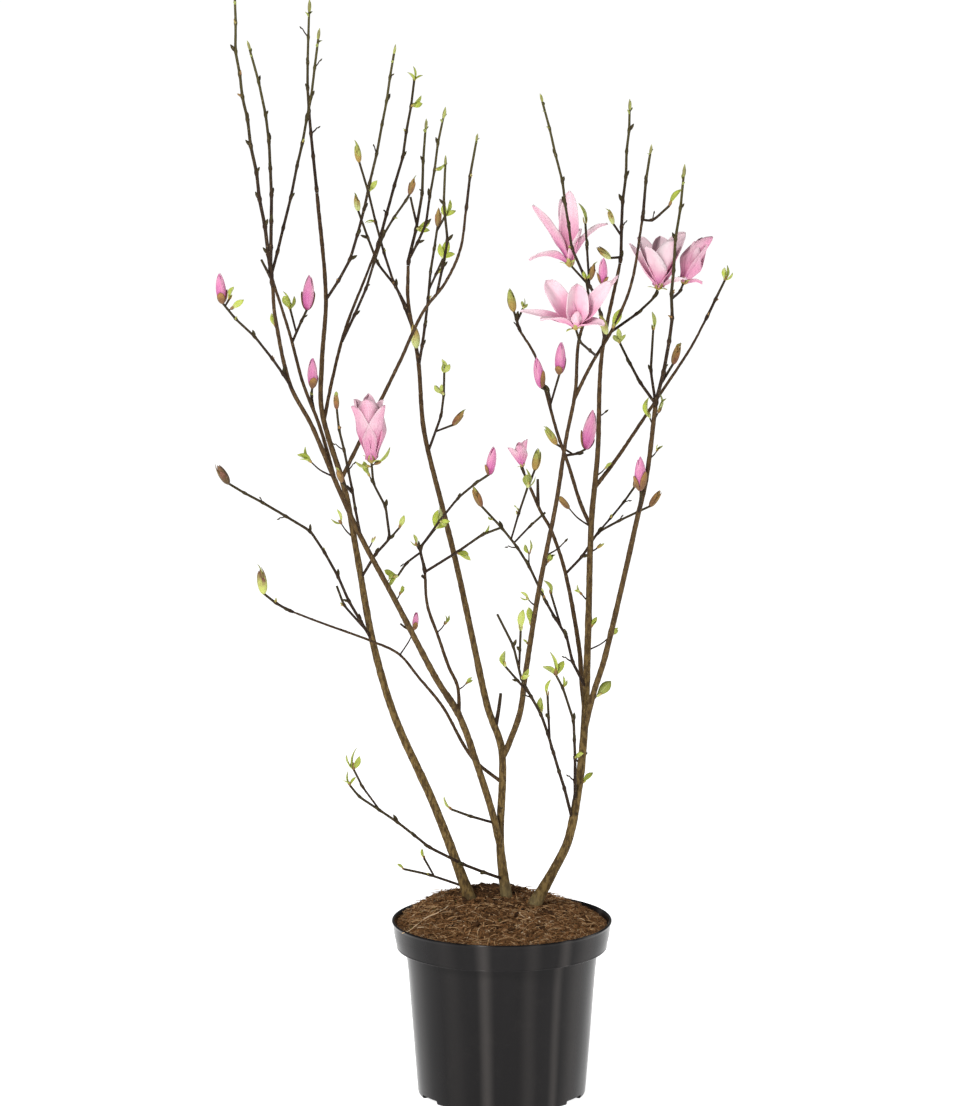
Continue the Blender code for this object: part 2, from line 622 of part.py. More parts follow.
def leaf(start, heading, length, roll, material, collection):
    """An eight-faced leaf, broadest beyond its middle, with its root sunk in the twig."""
    shape = bmesh.new()
    bmesh.ops.create_uvsphere(shape, u_segments=4, v_segments=2, radius=1)
    for corner in shape.verts:
        height = (corner.co.z + 1) / 2
        if 0.1 < height < 0.9:
            height = 0.62
        corner.co = Vector((corner.co.x * length * 0.21, corner.co.y * length * 0.045, height * length))
    shape.transform(aimed(heading, start - heading * 1.2 * MM, roll))
    return object_from("leaf", shape, material, collection)


def bud(start, heading, length, plump, sides, material, collection):
    """A closed bud, plump below its middle and drawn to a point."""
    shape = bmesh.new()
    bmesh.ops.create_uvsphere(shape, u_segments=sides, v_segments=4, radius=1)
    width = length * plump / 2
    for corner in shape.verts:
        height = (corner.co.z + 1) / 2
        corner.co = Vector((corner.co.x * width, corner.co.y * width, (height ** 1.25) * length))
    shape.transform(aimed(heading, start - heading * 1.5 * MM))
    return object_from("bud", shape, material, collection)


def tepal(start, axis, tilt, turn, length, width, material, collection):
    """A strap-shaped tepal that leaves the flower's foot along its axis and tips outwards."""
    rows = 3
    shape = bmesh.new()
    bmesh.ops.create_grid(shape, x_segments=2, y_segments=rows, size=1)
    side = Vector((math.cos(turn), math.sin(turn), 0))
    outward = (side - axis * side.dot(axis)).normalized()
    across = axis.cross(outward).normalized()
    spine = [start + outward * length * TEPAL_SPREAD]
    for row in range(rows):
        angle = tilt * min(1, (row + 0.8) / (rows - 1))
        spine.append(spine[-1] + (axis * math.cos(angle) + outward * math.sin(angle)) * length / rows)
    for corner in shape.verts:
        row = round((corner.co.y + 1) / 2 * rows)
        along = row / rows
        half = width / 2 * (0.24 + 1.5 * along * (1.28 - along) if row < rows else 0.25)
        angle = tilt * min(1, along * 1.2)
        inward = axis * math.sin(angle) - outward * math.cos(angle)
        corner.co = spine[row] + across * corner.co.x * half + inward * 0.34 * half * corner.co.x ** 2
    made = object_from("tepal", shape, material, collection)
    wall = made.modifiers.new("wall", "SOLIDIFY")
    wall.thickness = TEPAL_THICK
    wall.offset = 0
    bake_modifiers(made)
    return made


def flower(kind, start, length, materials, collection):
    axis = AXES[kind].normalized()
    bud(start - axis * 3 * MM, axis, length * 0.20, 0.62, 6, materials["bud"], collection)
    if kind in CLOSED_CORES:
        bud(start, axis, length, CLOSED_CORES[kind], 6, materials["petal"], collection)
    for tilt, turn, share in TEPALS[kind]:
        tepal(start, axis, math.radians(tilt), math.radians(turn), length * share,
              length * TEPAL_WIDTH[kind], materials["petal"], collection)


def end_piece(run, points, materials, collection, rng):
    """What a twig ends in."""
    tip = points[-1]
    heading = (points[-1] - points[-2]).normalized()
    size = run.size * MM
    upright = (heading + Vector((0, 0, 0.8))).normalized()
    if run.end == "shoot":
        bud(tip, heading, size, 0.26, 4, materials["leaf"], collection)
        for number in range(2):
            low, course = at_share(points, 1 - 0.02 * (number + 1))
            leaf(low, turned(course, 0.6, number * math.pi + rng.random()), size * 0.8, 0,
                 materials["leaf"], collection)
    elif run.end in ("brown", "tipped"):
        bud(tip, upright, size, 0.36, 6, materials["bud"], collection)
    elif run.end == "pink":
        bud(tip, upright, size, 0.34, 6, materials["petal"], collection)
    elif run.end == "leaf":
        leaf(tip, upright, size, rng.uniform(0, math.pi), materials["leaf"], collection)
    elif run.end == "tuft":
        for number in range(3):
            leaf(tip, turned(upright, 0.2 + 0.25 * number, 2.4 * number + rng.random()),
                 size * (1 - 0.14 * number), rng.uniform(0, math.pi), materials["leaf"], collection)
    elif run.end in TEPALS:
        flower(run.end, tip, size, materials, collection)


def nodes_along(spray, points, radii, rng):
    """The seeded rule: what grows at each node of a twig, as (kind, place, heading, length, roll)."""
    turn = rng.uniform(0, math.tau)
    for number in range(1, len(points) - 1):
        turn += LEAF_TURN
        course = (points[number + 1] - points[number]).normalized()
        draw, length, tilt, roll = (rng.random() for _ in range(4))
        if draw < spray.leafy:
            kind, length = "leaf", 0.014 + 0.012 * length
        elif draw < spray.leafy + STUB_SHARE:
            kind, length = "stub", 0.006 + 0.008 * length
        elif draw < spray.leafy + STUB_SHARE + BUD_SHARE:
            kind, length = "bud", 0.006 + 0.003 * length
        else:
            continue
        heading = turned(course, 0.55 + 0.5 * tilt, turn)
        yield kind, points[number] + heading * radii[number] * 0.4, heading, length, roll * math.pi


def grow_nodes(spray, points, radii, space, materials, collection, rng):
    for kind, place, heading, length, roll in nodes_along(spray, points, radii, rng):
        end = place + heading * length
        wide = {"leaf": 0.21, "stub": 0.1, "bud": 0.2}[kind] * length
        if not space.free(spray.name, place, end, wide):
            continue
        space.take(spray.name, place, end, wide)
        if kind == "leaf":
            leaf(place, heading, length, roll, materials["leaf"], collection)
        elif kind == "bud":
            bud(place, heading, length, 0.4, 4, materials["bud"], collection)
        else:
            thick = min(1.0 * MM, radii[0] * 0.7)
            tube("stub", [place - heading * MM, end], [thick, thick * 0.8], 4, materials["twig"], collection)


def grown(points, radii, extra):
    return points, [radius + extra for radius in radii]


def seat(thing, plant, parent, materials, helpers):
    """Cuts a limb's root to the skin of its parent, with the gap between them."""
    points, radii = grown(plant.lines[parent], plant.radii[parent], GAP)
    cutter = tube("cutter", points, radii, 8, materials["twig"], helpers)
    combine(thing, "DIFFERENCE", other=cutter)


def flat_cut(thing, height):
    """Cuts a stem level at its foot."""
    shape = bmesh.new()
    shape.from_mesh(thing.data)
    whole = shape.verts[:] + shape.edges[:] + shape.faces[:]
    bmesh.ops.bisect_plane(
        shape, geom=whole, dist=1e-7, plane_co=(0, 0, height), plane_no=(0, 0, 1), clear_inner=True)
    bmesh.ops.holes_fill(shape, edges=[edge for edge in shape.edges if edge.is_boundary], sides=0)
    bmesh.ops.recalc_face_normals(shape, faces=shape.faces)
    shape.to_mesh(thing.data)
    shape.free()


def turned_profile(name, profile, steps, material, collection):
    """A solid of revolution from (radius, height) points, run down the outside and back up the inside."""
    shape = bmesh.new()
    corners = [shape.verts.new((radius, 0, height)) for radius, height in profile]
    for before, after in zip(corners, corners[1:]):
        shape.edges.new((before, after))
    mesh = bpy.data.meshes.new(name)
    shape.to_mesh(mesh)
    shape.free()
    made = mesh_object(name, mesh, material, collection)
    turn = made.modifiers.new("turn", "SCREW")
    turn.steps = steps
    turn.render_steps = steps
    turn.use_merge_vertices = True
    turn.merge_threshold = 1e-5
    bake_modifiers(made)
    return made


def pot_radius(height):
    """The pot's inner radius, which steps out at the collar."""
    shoulder = POT_HEIGHT - COLLAR_HEIGHT
    if height < shoulder:
        return BASE_RADIUS + (BODY_TOP_RADIUS - BASE_RADIUS) * height / shoulder - WALL
    share = (height - shoulder) / COLLAR_HEIGHT
    return COLLAR_FOOT_RADIUS + (RIM_RADIUS - 0.002 - COLLAR_FOOT_RADIUS) * share - WALL


def make_pot(materials, collection, helpers):
    shoulder = POT_HEIGHT - COLLAR_HEIGHT
    lip = 0.002
    profile = (
        (0, FLOOR),
        (pot_radius(FLOOR) - 0.004, FLOOR),
        (pot_radius(FLOOR + 0.004), FLOOR + 0.004),
        (pot_radius(shoulder - 0.0005), shoulder - 0.0005),
        (pot_radius(shoulder + 0.003), shoulder + 0.003),
        (pot_radius(POT_HEIGHT), POT_HEIGHT - 0.0006),
        (RIM_RADIUS - lip - WALL * 0.4, POT_HEIGHT),
        (RIM_RADIUS, POT_HEIGHT - 0.0016),
        (COLLAR_FOOT_RADIUS + lip, POT_HEIGHT - COLLAR_HEIGHT * 0.55),
        (COLLAR_FOOT_RADIUS, shoulder + 0.0005),
        (BODY_TOP_RADIUS + 0.0015, shoulder - 0.0005),
        (BODY_TOP_RADIUS, shoulder - 0.004),
        (BASE_RADIUS, BASE_EDGE),
        (BASE_RADIUS - BASE_EDGE, 0),
        (0, 0),
    )
    pot = turned_profile("pot", profile[::-1], POT_STEPS, materials["pot"], collection)
    shape = bmesh.new()
    shape.from_mesh(pot.data)
    bmesh.ops.recalc_face_normals(shape, faces=shape.faces)
    shape.to_mesh(pot.data)
    shape.free()
    for number in range(NOTCHES):
        shape = bmesh.new()
        bmesh.ops.create_cube(shape, size=1)
        bmesh.ops.scale(shape, vec=NOTCH_SIZE, verts=shape.verts)
        reach = BASE_RADIUS - NOTCH_SIZE[0] * 0.12
        bmesh.ops.translate(shape, vec=(reach, 0, NOTCH_HEIGHT - NOTCH_SIZE[2] / 2), verts=shape.verts)
        turn = Matrix.Rotation(math.tau * number / NOTCHES - math.pi / 2, 3, "Z")
        bmesh.ops.rotate(shape, matrix=turn, verts=shape.verts)
        combine(pot, "DIFFERENCE", other=object_from("notch", shape, materials["pot"], helpers))
    pot.data.shade_smooth()
    pot.data.set_sharp_from_angle(angle=math.radians(35))
    return pot


def heap(x, y):
    """The height of the compost over a point, highest behind the stems and level at the pot's edge."""
    away = (Vector((x, y, 0)) - HEAP_CENTRE).length / HEAP_RADIUS
    outer = min(1, Vector((x, y, 0)).length / (RIM_RADIUS - 0.010))
    return COMPOST_EDGE + HEAP_HEIGHT * max(0, 1 - away ** 2) ** 1.15 * (1 - outer ** 8)


def make_compost(plant, materials, collection, helpers):
    shoulder = POT_HEIGHT - COLLAR_HEIGHT
    edge = pot_radius(COMPOST_EDGE) - GAP - 0.0005
    profile = [(edge * (ring / HEAP_RINGS) ** 0.8, COMPOST_EDGE) for ring in range(HEAP_RINGS + 1)]
    profile += [
        (pot_radius(shoulder + 0.003) - 0.0012, shoulder + 0.003),
        (pot_radius(shoulder - 0.0005) - 0.0012, shoulder + 0.001),
        (pot_radius(FLOOR + 0.006) - 0.0012, FLOOR + 0.006),
        (pot_radius(FLOOR) - 0.006, FLOOR + GAP),
        (0, FLOOR + GAP),
    ]
    compost = turned_profile("compost", profile, COMPOST_STEPS, materials["compost"], collection)
    shape = bmesh.new()
    shape.from_mesh(compost.data)
    for corner in shape.verts:
        if corner.co.z > COMPOST_EDGE - 1e-4:
            corner.co.z = heap(corner.co.x, corner.co.y)
    bmesh.ops.recalc_face_normals(shape, faces=shape.faces)
    shape.to_mesh(compost.data)
    shape.free()
    for limb in STEMS:
        points, radii = grown(plant.lines[limb.name], plant.radii[limb.name], 0.6 * MM)
        cutter = tube("socket", points[:5], radii[:5], 8, materials["compost"], helpers)
        flat_cut(cutter, limb.height * CM - FOOT_DEPTH - GAP)
        combine(compost, "DIFFERENCE", other=cutter)
    return compost


def main():
    clear_scene()
    collection = new_collection("magnolia_tree")
    helpers = new_collection("helpers", shown=False)
    materials = {
        "bark": make_material("bark", (0.16, 0.11, 0.06), 0.75),
        "twig": make_material("twig_bark", (0.06, 0.045, 0.035), 0.65),
        "leaf": make_material("young_leaf", (0.42, 0.55, 0.10), 0.5),
        "bud": make_material("bud_scale", (0.36, 0.24, 0.09), 0.7),
        "petal": make_material("tepal", (0.80, 0.36, 0.55), 0.5),
        "pot": make_material("pot_plastic", (0.02, 0.02, 0.022), 0.3),
        "compost": make_material("compost", (0.09, 0.045, 0.025), 0.95),
    }
    plant = Plant()
    space = Space(plant)
    make_pot(materials, collection, helpers)
    make_compost(plant, materials, collection, helpers)
    for limb in STEMS:
        line = plant.lines[limb.name]
        stem = tube(limb.name, line, plant.radii[limb.name], 8, materials["bark"], collection)
        flat_cut(stem, limb.height * CM - FOOT_DEPTH)
    for limb in BOUGHS:
        line = plant.lines[limb.name]
        bough = tube(limb.name, line, plant.radii[limb.name], 6, materials["bark"], collection)
        seat(bough, plant, limb.parent, materials, helpers)
    for number, spray in enumerate(SPRAYS):
        rng = random.Random(SEED * 2 + number)
        (points, radii, run), *others = plant.runs[spray.name]
        base = tube(spray.name, points, radii, 4, materials["twig"], collection)
        group = new_collection("spray_pieces", shown=False)
        end_piece(run, points, materials, group, rng)
        for more, thin, other in others:
            tube("twig", more, thin, 4, materials["twig"], group)
            end_piece(other, more, materials, group, rng)
        for more, thin, _ in plant.runs[spray.name]:
            grow_nodes(spray, more, thin, space, materials, group, rng)
        combine(base, "UNION", group=group)
        bpy.data.collections.remove(group)
        if spray.height is not None:
            seat(base, plant, spray.parent, materials, helpers)
        keep_outer_shell(base)


main()
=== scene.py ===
"""Dresses the potted magnolia with bark, twigs, buds, young leaves, blossoms, compost and a glossy pot.

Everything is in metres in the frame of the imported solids. +Z is up, +X is right and +Y is away from the
camera.
"""

import functools
import json
import math
import random
from typing import NamedTuple

import bmesh
import bpy
from bpy.props import FloatProperty, FloatVectorProperty, IntProperty, PointerProperty
from bpy.types import Operator, Panel, PropertyGroup
from mathutils import Matrix, Vector, geometry, kdtree, noise

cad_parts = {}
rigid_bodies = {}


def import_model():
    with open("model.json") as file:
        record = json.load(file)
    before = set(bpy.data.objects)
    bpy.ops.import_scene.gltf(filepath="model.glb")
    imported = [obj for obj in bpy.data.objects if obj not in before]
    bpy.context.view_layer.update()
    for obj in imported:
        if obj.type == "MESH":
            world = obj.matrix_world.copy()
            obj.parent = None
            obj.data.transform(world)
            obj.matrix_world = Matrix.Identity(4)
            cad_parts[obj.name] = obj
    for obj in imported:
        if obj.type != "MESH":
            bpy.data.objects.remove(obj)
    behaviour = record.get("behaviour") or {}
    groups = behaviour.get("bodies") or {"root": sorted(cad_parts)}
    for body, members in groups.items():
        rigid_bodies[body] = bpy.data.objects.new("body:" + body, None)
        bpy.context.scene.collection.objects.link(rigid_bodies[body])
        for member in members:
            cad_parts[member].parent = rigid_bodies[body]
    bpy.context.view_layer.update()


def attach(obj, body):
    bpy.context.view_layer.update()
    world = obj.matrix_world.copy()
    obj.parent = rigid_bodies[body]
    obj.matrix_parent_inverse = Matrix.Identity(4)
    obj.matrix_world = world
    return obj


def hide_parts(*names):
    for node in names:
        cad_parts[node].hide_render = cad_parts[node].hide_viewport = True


bl_info = {
    "name": "Potted Magnolia",
    "version": (1, 0, 0),
    "blender": (4, 5, 0),
    "location": "3D View > Sidebar > Magnolia",
    "description": "Bark, twigs, buds, young leaves, blossoms, compost and pot of a young magnolia",
    "category": "Object",
}

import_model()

CM = 0.01
MM = 0.001
TINY = 1e-6

# The air left between a spray and the tip that it grows from, and its straight neck in mm
GAP = 0.3 * MM
NECK = 6

# Fine detail of twigs and bark, with the compost's height at the stems and how far above it bark turns grey
TWIG_STEP = 4 * MM
LIMB_STEP = 3 * MM
BALL_STEP = 2 * MM
NODE_SWELL = 0.42
NODE_REACH = 2.6 * MM
TWIG_BARK = 0.45 * MM
ROUNDING_PASSES = 3
RING_WIDTH = 0.7 * MM
RING_SPACING = 0.055
ROUGH_RING = 2.2 * MM
KNOT_WIDTH = 6.0 * MM
KNOT_SPACING = 0.075
OLD_RADIUS = 5.2 * MM
GROUND = 0.24
FOOT_REACH = {"stem_left": 0.03, "stem_middle": 0.07, "stem_right": 0.04}
STEM_SIDES, BOUGH_SIDES, TWIG_SIDES = 20, 14, 8
LIMB_GRAIN, TWIG_GRAIN = 420, 900

# Stretches of rough, ring-scarred bark, as limb, lowest and highest height in cm
ROUGH = (("bough_leaning", 49.6, 52.4), ("stem_left", 107.5, 113.5))

# How many forms of leaf there are, and a leaf's thickness as a share of its length
LEAF_FORMS = 14
LEAF_WALL = 0.022

# Tints of leaves and buds, with the share of a deal below which each is taken, and sprays with a set tint
LEAF_TINTS = {"bright": 0.48, "pale": 0.80, "olive": 1.01}
BUD_TINTS = {"ochre": 0.40, "brown": 0.66, "green": 1.01, "blush": 1.01, "dark": 1.01}
BUD_TINT_OF = {
    "shoot_green_bud": "ochre", "shoot_behind": "green", "spray_left_upper": "brown",
    "leaf_spray_middle": "brown", "bud_spray_back": "ochre", "shoots_right": "brown",
    "twig_inner_left": "brown", "twigs_far_left": "dark", "bud_far_left": "blush",
    "buds_middle": "brown", "bud_spray_right": "brown", "blossom_small": "ochre",
    "pink_bud_right": "ochre", "twigs_centre": "brown", "shoot_right_middle": "green"}

# Upright streaks of painted reflection round the pot, as angle from the front, width in degrees and strength
REFLECTION_STREAKS = (
    (-10.5, 6.5, 0.75), (-32, 9, 0.16), (17, 7, 0.30), (36, 5.5, 0.7), (52, 12, 0.36),
    (-62, 10, 0.20), (84, 9, 0.6), (112, 6, 0.8), (141, 12, 0.35), (168, 5, 0.7), (-91, 6, 0.7),
    (-118, 12, 0.4), (-147, 5, 0.8))

# Colours of each kind of bud, at its foot and at its tip
BUD_COLOURS = {
    "ochre": ("ochre", "green_tip"), "brown": ("bronze", "russet"), "dark": ("dark", "dark_tip"),
    "green": ("vein", "ochre"), "blush": ("calyx", "dark_tip")}

# What is strewn over the compost, as name, what it is counted by and the share of that, seed, two colours,
# how strongly it gathers on the heap, and scale
SCATTERS = (
    ("fibres_red", "fibres", (1, 1), 11, ("crumb", "red"), 0, 1.0),
    ("fibres_tan", "fibres", (2, 3), 12, ("red", "tan"), 0, 1.0),
    ("fibres_pale", "fibres", (1, 7), 16, ("tan", "pale"), 0, 0.8),
    ("crumbs_dark", "chips", (5, 3), 13, ("crumb", "crumb_dark"), 2.6, 2.1),
    ("chips_bark", "chips", (2, 1), 14, ("red", "crumb"), 0, 1.0),
    ("chips_pale", "chips", (1, 10), 15, ("tan", "pale"), 0.4, 0.9),
    ("moss", "chips", (1, 8), 17, ("crumb", "moss"), 0, 0.7))
SCATTER_FORMS = 24
NEAR_RIM = 0.012
LONG_FIBRE = (
    (-0.126, -0.070, 0), (-0.112, -0.052, 0), (-0.096, -0.036, 0), (-0.080, -0.030, 0), (-0.068, -0.016, 0))
LONG_FIBRE_RADIUS, LONG_FIBRE_LIFT = 0.65 * MM, 4.2 * MM

# Lights in front and behind, as name, place, size and power
LAMPS = (("key", (-1.4, -2.9, 3.0), (0.8, 1.2), 128), ("fill", (2.6, 1.6, 2.4), (1.0, 1.6), 12))
LAMP_TARGET = (0, 0, 0.7)

# Narrow lights that draw the soft upright streaks on the pot, as name, azimuth, width and power
STRIPS = (
    ("strip_left", -21, 0.16, 5.0), ("strip_middle", 34, 0.10, 1.6), ("strip_right", 72, 0.18, 5.0),
    ("strip_far_right", 104, 0.55, 9.0))
STRIP_AWAY, STRIP_HEIGHT, STRIP_LENGTH = 2.2, 0.5, 1.4
STRIP_TARGET = (0, 0, 0.12)
WORLD_LIGHT = 0.15
FLOOR_REACH = 40

# Pot and compost, as in the solids
POT_HEIGHT = 0.226
RIM_RADIUS = 0.140
RIM_ROLL = 0.0016
RIM_SET_BACK = 0.002
COLLAR_HEIGHT = 0.0355
COLLAR_FOOT_RADIUS = 0.1335
SHOULDER = POT_HEIGHT - COLLAR_HEIGHT
BODY_TOP_RADIUS = 0.1215
BASE_RADIUS = 0.107
BASE_EDGE = 0.004
WALL = 0.0024
FLOOR = 0.012
NOTCHES = 6
NOTCH_SIZE = (0.018, 0.036, 0.010)
NOTCH_HEIGHT = 0.005
POT_AIR = 0.0006
COMPOST_EDGE = 0.2205
HEAP_HEIGHT = 0.030
HEAP_CENTRE = Vector((-0.022, 0.040, 0))
HEAP_RADIUS = 0.152
LEVEL_RADIUS = RIM_RADIUS - 0.010
CRUMBLED_RADIUS = RIM_RADIUS - 0.006
COMPOST_RINGS = 46
POT_STEPS, COMPOST_STEPS = 144, 150

# The compost's hollows, lumps and crumbs, as the scale of each noise, its shift and its depth in mm
HEAP_NOISE = ((42, (0, 0, 0), 2.4), (110, (3, 1, 0), 1.5), (300, (0, 0, 0), 0.9), (700, (0, 0, 0), 0.5))

# Stems, boughs and twigs, by the same rule as the solids
FOOT_FLARE = 0.45
FLARE_REACH = 0.022
FOOT_DEPTH = 0.010
STEM_STEP = 0.065
BOUGH_STEP = 0.055
INTERNODE = 0.034
ZIGZAG = 1.0 * MM
TWIG_TIP = 1.1 * MM
SIDE_TWIG_THICKNESS = 0.78
SIDE_TWIG_FALL = 0.3
LEAF_TURN = math.radians(144)
STUB_SHARE = 0.10
BUD_SHARE = 0.14
CLEARANCE = 1.5 * MM
PROBED = (0.15, 0.4, 0.7, 1)
TAKEN = (0.15, 0.5, 0.85)
CROWN_LOW = Vector((-0.374, -0.245, 0.250))
CROWN_HIGH = Vector((0.306, 0.260, 1.436))
SEED = 1936

# What can grow at a node, as its least size, what a draw adds to that, and its width as a share of its size
NODE_KINDS = {
    "leaf": (0.014, 0.012, 0.21), "stub": (0.006, 0.008, 0.1), "bud": (0.006, 0.003, 0.2),
    "next": (0.0082, 0.0040, 0.1)}

# How fresh the bark is at the tip of a shoot, a twig and a short side twig
SHOOT_FRESH, TWIG_FRESH, SPUR_FRESH = 1.0, 0.35, 0.2

# The length of the bud on a stub, and a leaf's bud scales and second leaf as shares of the leaf
STUB_BUD = 0.005
SCALE_SHARE = 0.4
SECOND_LEAF = 0.8

# How far the ends of twigs and of short side twigs turn upwards
UPTURN, SPUR_UPTURN = 0.8, 0.35

# The leaves in which a short side twig can end, as their number and how wide they open
SPUR_LEAVES = {"leaf": (1, 0.1), "pale": (2, 0.28), "tuft": (3, 0.35), "spread": (2, 0.75)}

# Where the middle of the crown ends to the left and to the right
LEFT_EDGE, RIGHT_EDGE = -0.13, 0.085


class Limb(NamedTuple):
    """A stem, or a bough that leaves its parent at a height in cm. Knots are (right, back, up) in cm."""

    name: str
    parent: str
    height: float
    thickness: tuple
    knots: tuple


class Run(NamedTuple):
    """A twig of a spray, from a share of the first twig's length, and the kind and size in mm of its end."""

    share: float
    end: str
    size: float
    knots: tuple


class Spray(NamedTuple):
    """A mass of twigs on one stem, at a height of its parent in cm, or at the tip where that is None."""

    name: str
    parent: str
    height: float
    thickness: float
    leafy: float
    runs: tuple


STEMS = (
    Limb("stem_left", "", 24.2, (12.0, 4.2), (
        (-3.7, 0.5, 24.2), (-8.6, 2, 37), (-13.6, 4, 48), (-16.4, 5.5, 57.5), (-18.4, 7, 68.5),
        (-19.9, 8, 76.5), (-22.8, 9, 86.5), (-22.8, 10, 93), (-22.3, 11, 101), (-23.4, 12.5, 114))),
    Limb("stem_middle", "", 24.3, (11.0, 4.2), (
        (0.7, 1.5, 24.3), (-0.2, 1.5, 32), (0, 2, 44), (-1.8, 3, 49.5), (-3.7, 4.5, 58),
        (-5.7, 6.5, 67), (-7.7, 8, 75), (-9.9, 10, 84), (-10.6, 11.5, 92.5), (-11.9, 13.5, 100),
        (-11.9, 14, 104.5))),
    Limb("stem_right", "", 24.1, (12.4, 4.0), (
        (3.9, 0, 24.1), (6.6, 0, 29), (8.5, 0.5, 33), (9.9, 1, 41), (10.5, 1.5, 48), (10.9, 2.5, 59),
        (11.3, 4, 73), (12.1, 5, 82), (12.6, 7, 94), (14.9, 9, 105.5))),
)

BOUGHS = (
    Limb("bough_leaning", "stem_middle", 31.5, (9.4, 4.4), (
        (-1.1, 0.2, 36), (-3, -1, 42.5), (-5.4, -2, 49.5), (-8.3, -3, 54.5), (-13.7, -5, 65.5),
        (-17.8, -6, 73.5), (-20.8, -7, 80.5), (-23.6, -8, 87.5), (-26.3, -9, 93), (-28, -10.5, 101.5),
        (-28.3, -11, 105.5))),
    Limb("bough_fork", "stem_middle", 43.0, (8.0, 3.8), (
        (1, 1, 45.5), (2.3, 0, 49.5), (2.9, -2, 54.5), (4.7, -6, 67), (6.7, -9, 78), (7.9, -11, 86.5),
        (9, -12, 92.5), (9.4, -11, 98.5), (10.7, -8, 102.3))),
    Limb("bough_outer", "stem_right", 46.5, (8.0, 5.6), (
        (11.6, 0.2, 52), (12.9, -1, 56.5), (15.5, -3.5, 68.5), (16.8, -5, 75), (18, -6.5, 81), (19, -8, 90))),
    Limb("bough_inner", "stem_right", 49.0, (6.4, 4.0), (
        (10.1, 3.2, 53), (9.8, 4.2, 57), (8.1, 7, 66), (6.3, 8.5, 71.3), (5, 9.5, 73.5), (3.6, 10, 76.6))),
    Limb("bough_rising", "bough_fork", 91.5, (4.6, 3.2), (
        (11, -12, 96), (13.6, -12.5, 100.5), (15.8, -13, 106), (17.1, -14, 114))),
    Limb("bough_back_right", "stem_right", 77.5, (5.2, 3.0), (
        (14.5, 6, 81), (17.1, 8, 84.5), (20, 10, 88.5), (23.9, 12.5, 94), (25.9, 14, 97.5))),
    Limb("bough_back", "stem_right", 72.5, (5.0, 3.2), (
        (9.9, 5.5, 75.5), (8.4, 8, 80), (7.1, 9.5, 83.5), (5.8, 11, 88), (4.3, 12.5, 93), (2.4, 14, 96))),
    Limb("bough_crossing", "stem_left", 78.0, (5.4, 3.2), (
        (-18.5, 7, 82), (-15.6, 5, 88), (-12.8, 3, 94), (-9.9, 1, 100.5), (-7.1, -1, 104.5),
        (-5.2, -3, 109), (-4.5, -4.5, 114))),
    Limb("bough_left_back", "stem_left", 85.5, (4.8, 3.0), (
        (-21.5, 11, 90.5), (-19.9, 13, 96.5), (-17.1, 15, 103.5), (-15.9, 16.5, 106.5))),
    Limb("bough_left_inner", "bough_leaning", 80.5, (5.0, 3.4), (
        (-22.7, -5.5, 87), (-24.8, -5, 92.5), (-26.4, -4.5, 98.5), (-28.6, -4, 105.5))),
    Limb("bough_reaching_left", "stem_middle", 40.0, (4.6, 2.6), (
        (-3.8, 3, 43), (-7.5, 1, 50), (-10.6, 0.5, 54), (-13, 0, 57), (-16, 0, 58.5), (-22.9, -2, 61.5),
        (-26.2, -3, 63))),
    Limb("bough_knobbly", "bough_leaning", 49.5, (4.6, 3.6), (
        (-5.6, -0.8, 53), (-6.7, -0.8, 55.5), (-8.1, -0.2, 59.5), (-9.4, 0, 63.3), (-9.7, 0, 67.4))),
)

